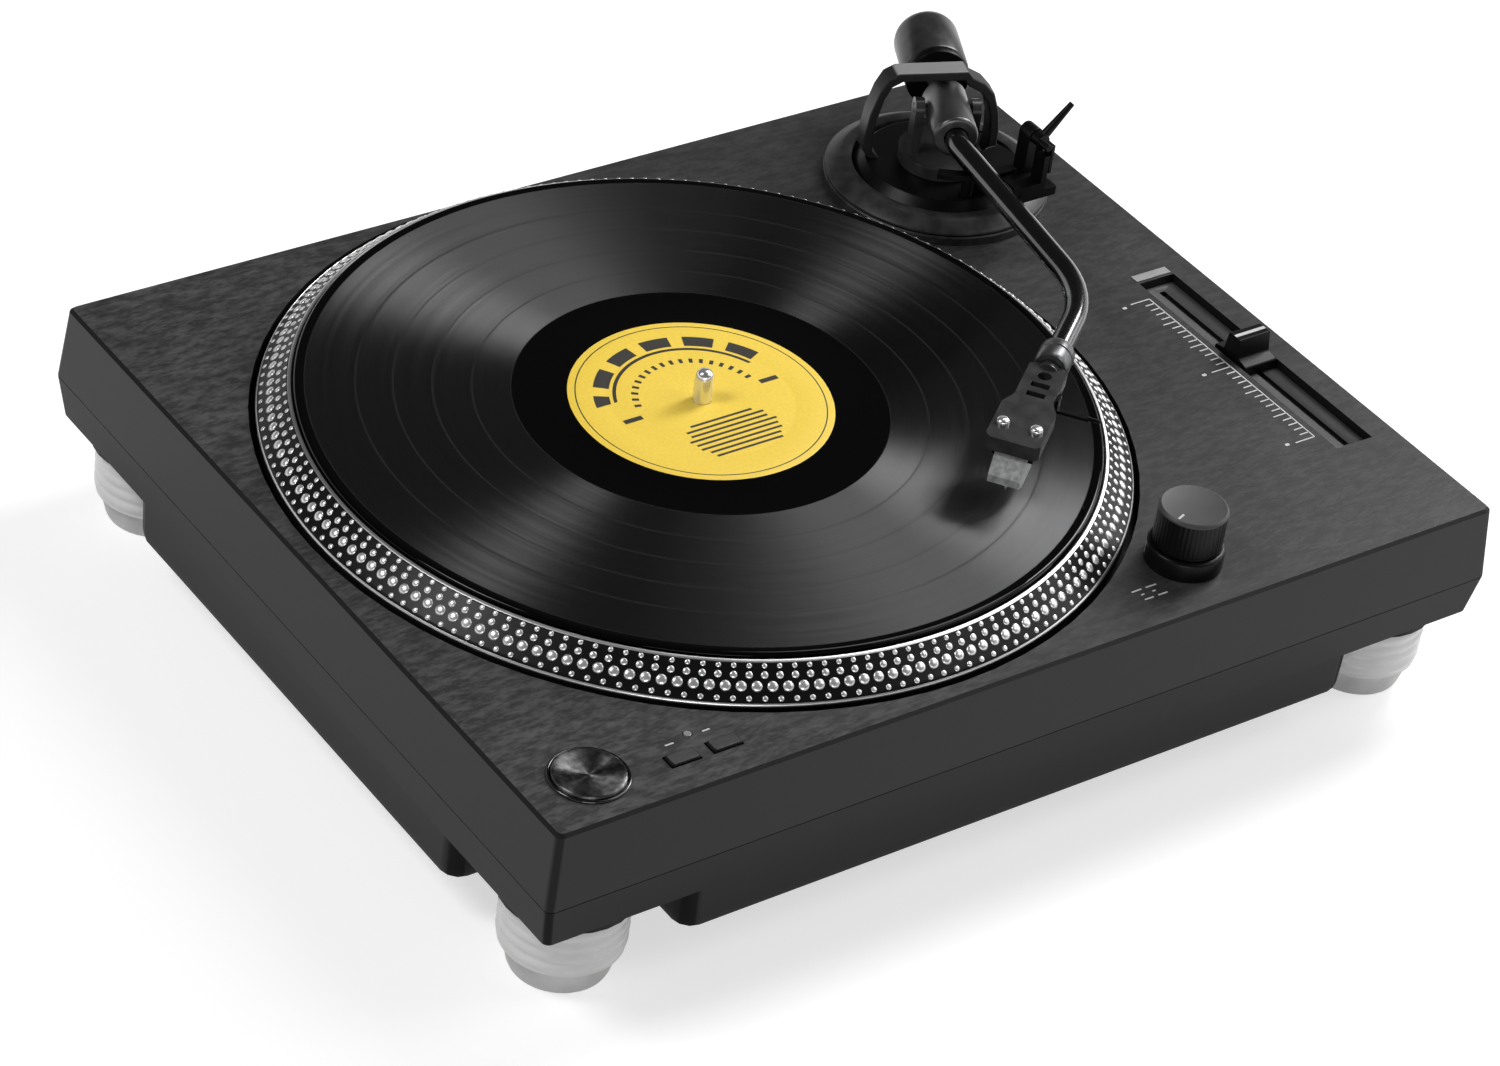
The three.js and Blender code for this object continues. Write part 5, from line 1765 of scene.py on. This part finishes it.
@dataclass
class Tonearm:
    """The swinging arm, in a frame of its own: X runs from the pivot along the tube.

    Attributes:
        shop: The shared bench.
        pivot: Height of the pivot.
        yaw: Which way the arm points at rest, in degrees.
        tube: Radius of the tube.
        start: Where the tube leaves the pivot block.
        legs: Where the first bend begins, and the straight lengths after each bend.
        bends: Turn in degrees and radius of each bend.
        stub: Radius of the rear stub.
        stub_end: Where the stub ends.
        sleeve: Radius of the pivot block.
        sleeve_ends: Where the block begins and ends.
        weight: Radius of the counterweight.
        weight_ends: Where the counterweight begins and ends.
        dial_ends: Where its dial begins and ends.
        collar: Radius of the head shell's collar.
        screw_x: Where the head's screws are, from its collar.
        screw_y: How far each screw is from the middle.
        shell_top: Height of the head shell's top over the tube's middle.
        line: The tube's centre line, which draw_line fills in.
    """

    shop: Assembly
    pivot: float = 35.5
    yaw: float = 242.9
    tube: float = 4.7
    start: float = 12.0
    legs: tuple[float, float, float] = (23.4, 82.4, 24.5)
    bends: tuple[Span, Span] = ((17.2, 28.4), (-42.6, 54.9))
    stub: float = 4.6
    stub_end: float = -66.0
    sleeve: float = 9.0
    sleeve_ends: Span = (-9.0, 22.0)
    weight: float = 13.4
    weight_ends: Span = (-57.0, -26.0)
    dial_ends: Span = (-25.7, -22.1)
    collar: float = 6.8
    screw_x: float = 53.3
    screw_y: float = 6.35
    shell_top: float = 2.1
    line: list[tuple[float, float, float]] = field(default_factory=list)

    def draw_line(self) -> Matrix:
        """Fills in the tube's centre line.

        Returns:
            The head's place in the arm's frame.
        """
        here, heading = Vector((self.start, 0, 0)), 0.0
        self.line = [tuple(here)]

        def ahead(length: float) -> Vector:
            """The move of a straight stretch."""
            return Vector((math.cos(heading), math.sin(heading), 0)) * length

        here = here + ahead(self.legs[0] - self.start)
        self.line.append(tuple(here))
        for (turn, radius), leg in zip(self.bends, self.legs[1:]):
            reach = radius * math.tan(math.radians(abs(turn)) / 2)
            begin, corner = here, here + ahead(reach)
            heading += math.radians(turn)
            end = corner + ahead(reach)
            for i in range(1, 13):
                t = i / 12
                self.line.append(tuple(begin * (1 - t) ** 2 + corner * 2 * t * (1 - t) + end * t * t))
            here = end + ahead(leg)
            self.line.append(tuple(here))
        return shift(*here, turn=math.degrees(heading))

    def build(self) -> None:
        """Builds the arm from its pivot to the head shell."""
        place = self.shop.at(*ARM_AXIS, self.pivot, self.yaw)
        self.shop.refined("gimbal_yoke", Surface.GUNMETAL, 0.5, 3)
        head = place @ self.draw_line()
        tube = Workshop.rod("arm_tube_shaped", self.line, self.tube, 32)
        self.shop.stand_in(tube, place, Surface.TUBE, "arm_tube")
        r, (rear, front) = self.sleeve, self.sleeve_ends
        sleeve = Workshop.lying(
            "sleeve",
            [
                (0, rear), (r - 1.4, rear), (r - 0.4, rear + 0.5), (r, rear + 1.4), (r, front - 1.4),
                (r - 0.2, front - 0.6), (r - 0.8, front - 0.1), (r - 1.6, front), (5, front),
                (5, self.start), (0, self.start),
            ],
            72, 40,
        )
        r, end, root = self.stub, self.stub_end, rear + 0.5
        stub = Workshop.lying("stub", [(0, end), (r - 0.6, end), (r, end + 0.6), (r, root), (0, root)], 48)
        pins = Workshop.turned(
            "pins", [(0, -13.5), (1.5, -13.5), (1.8, -13.2), (1.8, 13.2), (1.5, 13.5), (0, 13.5)], 32
        )
        Workshop.settle(pins, Matrix.Rotation(QUARTER_TURN, 4, "X"))
        block = Workshop.joined("pivot_sleeve", [sleeve, stub, pins])
        self.shop.stand_in(block, place, Surface.SATIN_GREY, "pivot_block")
        self.rear_weight(place)
        self.head(head)

    def rear_weight(self, place: Matrix) -> None:
        """The counterweight and its dial.

        Args:
            place: The arm's place.
        """
        r, bore, (rear, front) = self.weight, self.stub + 0.3, self.weight_ends
        weight = Workshop.lying(
            "counterweight_shaped",
            [
                (bore, rear), (r - 5.2, rear), (r - 3.2, rear + 0.4), (r - 1.6, rear + 1.4),
                (r - 0.6, rear + 2.9), (r - 0.1, rear + 4.6), (r, rear + 6), (r, front - 1),
                (r - 0.3, front - 0.3), (r - 1, front), (bore, front),
            ],
            96, 40,
        )
        self.shop.stand_in(weight, place, Surface.GUNMETAL, "counterweight")
        r, (rear, front) = r - 0.2, self.dial_ends
        dial = Workshop.lying(
            "force_dial_shaped",
            [
                (bore, rear), (r, rear), (r, front - 0.7), (r - 0.3, front - 0.2), (r - 1, front),
                (bore, front),
            ],
        )
        self.shop.stand_in(dial, place, Surface.PLASTIC, "force_dial")

    def head(self, place: Matrix) -> None:
        """The collar, the head shell with its screws, and the cartridge.

        Args:
            place: The head's place.
        """
        r = self.collar
        collar = Workshop.lying(
            "collar",
            [
                (5, -3.5), (r - 0.6, -3.5), (r - 0.2, -3), (r, -1.8), (r, 1), (r - 0.4, 1.3),
                (r - 0.4, 1.9), (r, 2.2), (r, 7.4), (r - 0.3, 8.4), (r - 0.6, 9), (4.3, 9),
                (4.3, 4), (5, 4),
            ],
            72, 30,
        )
        self.shop.stand_in(collar, place, Surface.SATIN_GREY, "headshell_collar")
        self.shop.refined("headshell", Surface.GUNMETAL, 0.35)
        screw = Workshop.turned(
            "screw",
            [(0, -0.2), (2.4, -0.2), (2.45, 0.9), (2.2, 1.5), (1.6, 1.9), (0.9, 2.1), (0, 2.15)],
            32, 60,
        )
        sides = [place @ shift(self.screw_x, y, self.shell_top) for y in (-self.screw_y, self.screw_y)]
        caps = Workshop.copied(screw, "screw_caps", *sides)
        self.shop.fit(caps, self.shop.body_of("cartridge"), Surface.BRIGHT)
        self.shop.refined("finger_lift", Surface.PLASTIC, 0.25)
        self.shop.refined("cartridge", Surface.PLASTIC, 0.25)
        self.shop.refined("stylus", Surface.SILVER, 0.3)


# ---------------------------------------------------------------- back and inside


@dataclass
class Electrics:
    """The sockets at the back, the motor and the boards inside."""

    shop: Assembly

    def build(self) -> None:
        """Refines what shows and dresses what is hidden."""
        self.shop.refined("jack_panel", Surface.STEEL, 0.3)
        self.shop.refined("ground_post", Surface.BRASS, 0.2)
        self.shop.refined("power_inlet", Surface.PLASTIC, 0.4)
        self.shop.dress(Surface.STEEL, "motor_plate", "power_transformer")
        self.shop.dress(Surface.BRASS, "bearing_housing")
        self.shop.dress(Surface.FERRITE, "stator_core", "rotor_magnet")
        self.shop.dress(Surface.COPPER, "stator_winding")
        self.shop.dress(Surface.BOARD, "main_board")


# ---------------------------------------------------------------- studio


@dataclass(frozen=True)
class Lamp:
    """A rectangular lamp that looks at the middle of the object.

    Attributes:
        name: Its name.
        bearing: Its direction seen from above, in degrees from X.
        height: Its direction above the horizon, in degrees.
        distance: How far away it is, in metres.
        size: Its width and height, in metres.
        watts: Its power.
    """

    name: str
    bearing: float
    height: float
    distance: float
    size: Span
    watts: float

    def hang(self, middle: Vector) -> None:
        """Hangs the lamp.

        Args:
            middle: What it looks at, in metres.
        """
        up, side = math.radians(self.height), math.radians(self.bearing)
        towards = Vector((math.cos(up) * math.cos(side), math.cos(up) * math.sin(side), math.sin(up)))
        data = bpy.data.lights.new(self.name, "AREA")
        data.shape = "RECTANGLE"
        data.size, data.size_y = self.size
        data.energy = self.watts
        lamp = bpy.data.objects.new(self.name, data)
        facing = towards.to_track_quat("Z", "Y").to_matrix().to_4x4()
        lamp.matrix_world = Matrix.Translation(middle + towards * self.distance) @ facing
        bpy.context.scene.collection.objects.link(lamp)


@dataclass
class Studio:
    """White floor, soft lamps and the camera, in metres and degrees.

    Attributes:
        middle: What the lamps look at.
        floor_lift: Light of its own that the floor has for the camera.
        vanishing: Distances between which the floor turns into plain white.
        dim: Brightness of the room for all that isn't seen directly.
        band: How high the white part of the room reaches in reflections.
        lens: The camera's focal length, in millimetres.
        sensor: The camera's sensor width, in millimetres.
        eye: The camera's place.
        aim: The camera's turn about each axis.
        lamps: The lamps.
    """

    middle: Vector = field(default_factory=lambda: Vector((0, 0, 0.08)))
    floor_lift: float = 0.62
    vanishing: Span = (0.9, 2.4)
    dim: float = 0.05
    band: float = 0.2
    lens: float = 113.717
    sensor: float = 36.0
    eye: tuple[float, float, float] = (-0.93989, -1.11950, 1.10227)
    aim: tuple[float, float, float] = (53.32584, -6.83076, -34.76767)
    lamps: tuple[Lamp, ...] = (
        Lamp("key", 20, 58, 1.6, (0.55, 0.6), 5),
        Lamp("side_panel", 8, 36, 1.3, (0.36, 0.5), 9.5),
        Lamp("low_panel", -14, 17, 1.7, (1.1, 0.6), 5),
        Lamp("left_panel", 166, 48, 1.5, (0.45, 0.5), 9),
        Lamp("front_fill", -40, 44, 1.4, (0.8, 0.6), 3.6),
        Lamp("foot_panel", -122, 9, 2.4, (1.1, 0.4), 10),
    )

    def build(self) -> None:
        """Builds everything round the object."""
        self.floor()
        self.world()
        for lamp in self.lamps:
            lamp.hang(self.middle)
        self.camera()

    def floor(self) -> None:
        """A wide white floor that keeps the object's shadow and turns plain white far away."""
        Workshop.take()
        bpy.ops.mesh.primitive_grid_add(x_subdivisions=4, y_subdivisions=4, size=16)
        floor = bpy.context.object
        floor.name = "floor"
        sheet = ShaderSheet("white_floor")
        sheet.set(
            Base_Color=(0.6, 0.6, 0.6), Roughness=0.9, Emission_Color=WHITE, Specular_IOR_Level=0.0
        )
        ray = sheet.add("ShaderNodeLightPath", output="Is Camera Ray")
        seen = (ray + ray.also("Is Glossy Ray") + ray.also("Is Transmission Ray")) > 0.5
        glow = sheet.add("ShaderNodeEmission", {"Strength": self.floor_lift})
        lifted = sheet.add("ShaderNodeAddShader", {0: sheet.shader, 1: glow})
        near = sheet.blended(seen, sheet.shader, lifted)
        distant = sheet.length(sheet.place()).over(*self.vanishing) * seen
        sheet.end_in(sheet.blended(distant, near, sheet.add("ShaderNodeEmission")))
        floor.data.materials.append(sheet.material)

    def world(self) -> None:
        """A dim room that the camera sees as white, and reflections too up to a low height."""
        world = bpy.data.worlds.new("sky")
        bpy.context.scene.world = world
        wiring = Wiring(world, "ShaderNodeOutputWorld")
        ray = wiring.add("ShaderNodeLightPath", output="Is Camera Ray")
        mirrored = ray.also("Is Glossy Ray").greater_of(ray.also("Is Transmission Ray"))
        place = wiring.add("ShaderNodeTexCoord", output="Generated")
        low = wiring.add("ShaderNodeSeparateXYZ", {0: place}, "Z") < self.band
        dim, white = (
            wiring.add("ShaderNodeBackground", {"Color": WHITE, "Strength": strength})
            for strength in (self.dim, 1)
        )
        wiring.end_in(wiring.blended(ray.greater_of(low * mirrored), dim, white))

    def camera(self) -> None:
        """The camera: high at the front left, with a slight roll."""
        data = bpy.data.cameras.new("camera")
        data.lens = self.lens
        data.sensor_width = self.sensor
        camera = bpy.data.objects.new("camera", data)
        camera.location = self.eye
        camera.rotation_euler = [math.radians(angle) for angle in self.aim]
        bpy.context.scene.collection.objects.link(camera)
        bpy.context.scene.camera = camera


def main() -> None:
    """Builds the scene in order and logs each sub-assembly as it starts."""
    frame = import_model()
    low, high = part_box("spindle")
    spindle = Vector(((low.x + high.x) / 2, (low.y + high.y) / 2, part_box("top_cabinet")[1].z))
    shop = Assembly(frame, Palette(spindle), spindle)
    Studio().build()
    for kind in (
        Cabinet, Feet, Platter, Record, Buttons, PowerKnob, PitchFader, ArmBase, Tonearm, Electrics,
    ):
        log.info("building %s", kind.__name__)
        kind(shop).build()
    bpy.context.scene.view_settings.view_transform = "Standard"


if __name__ == "__main__":
    main()
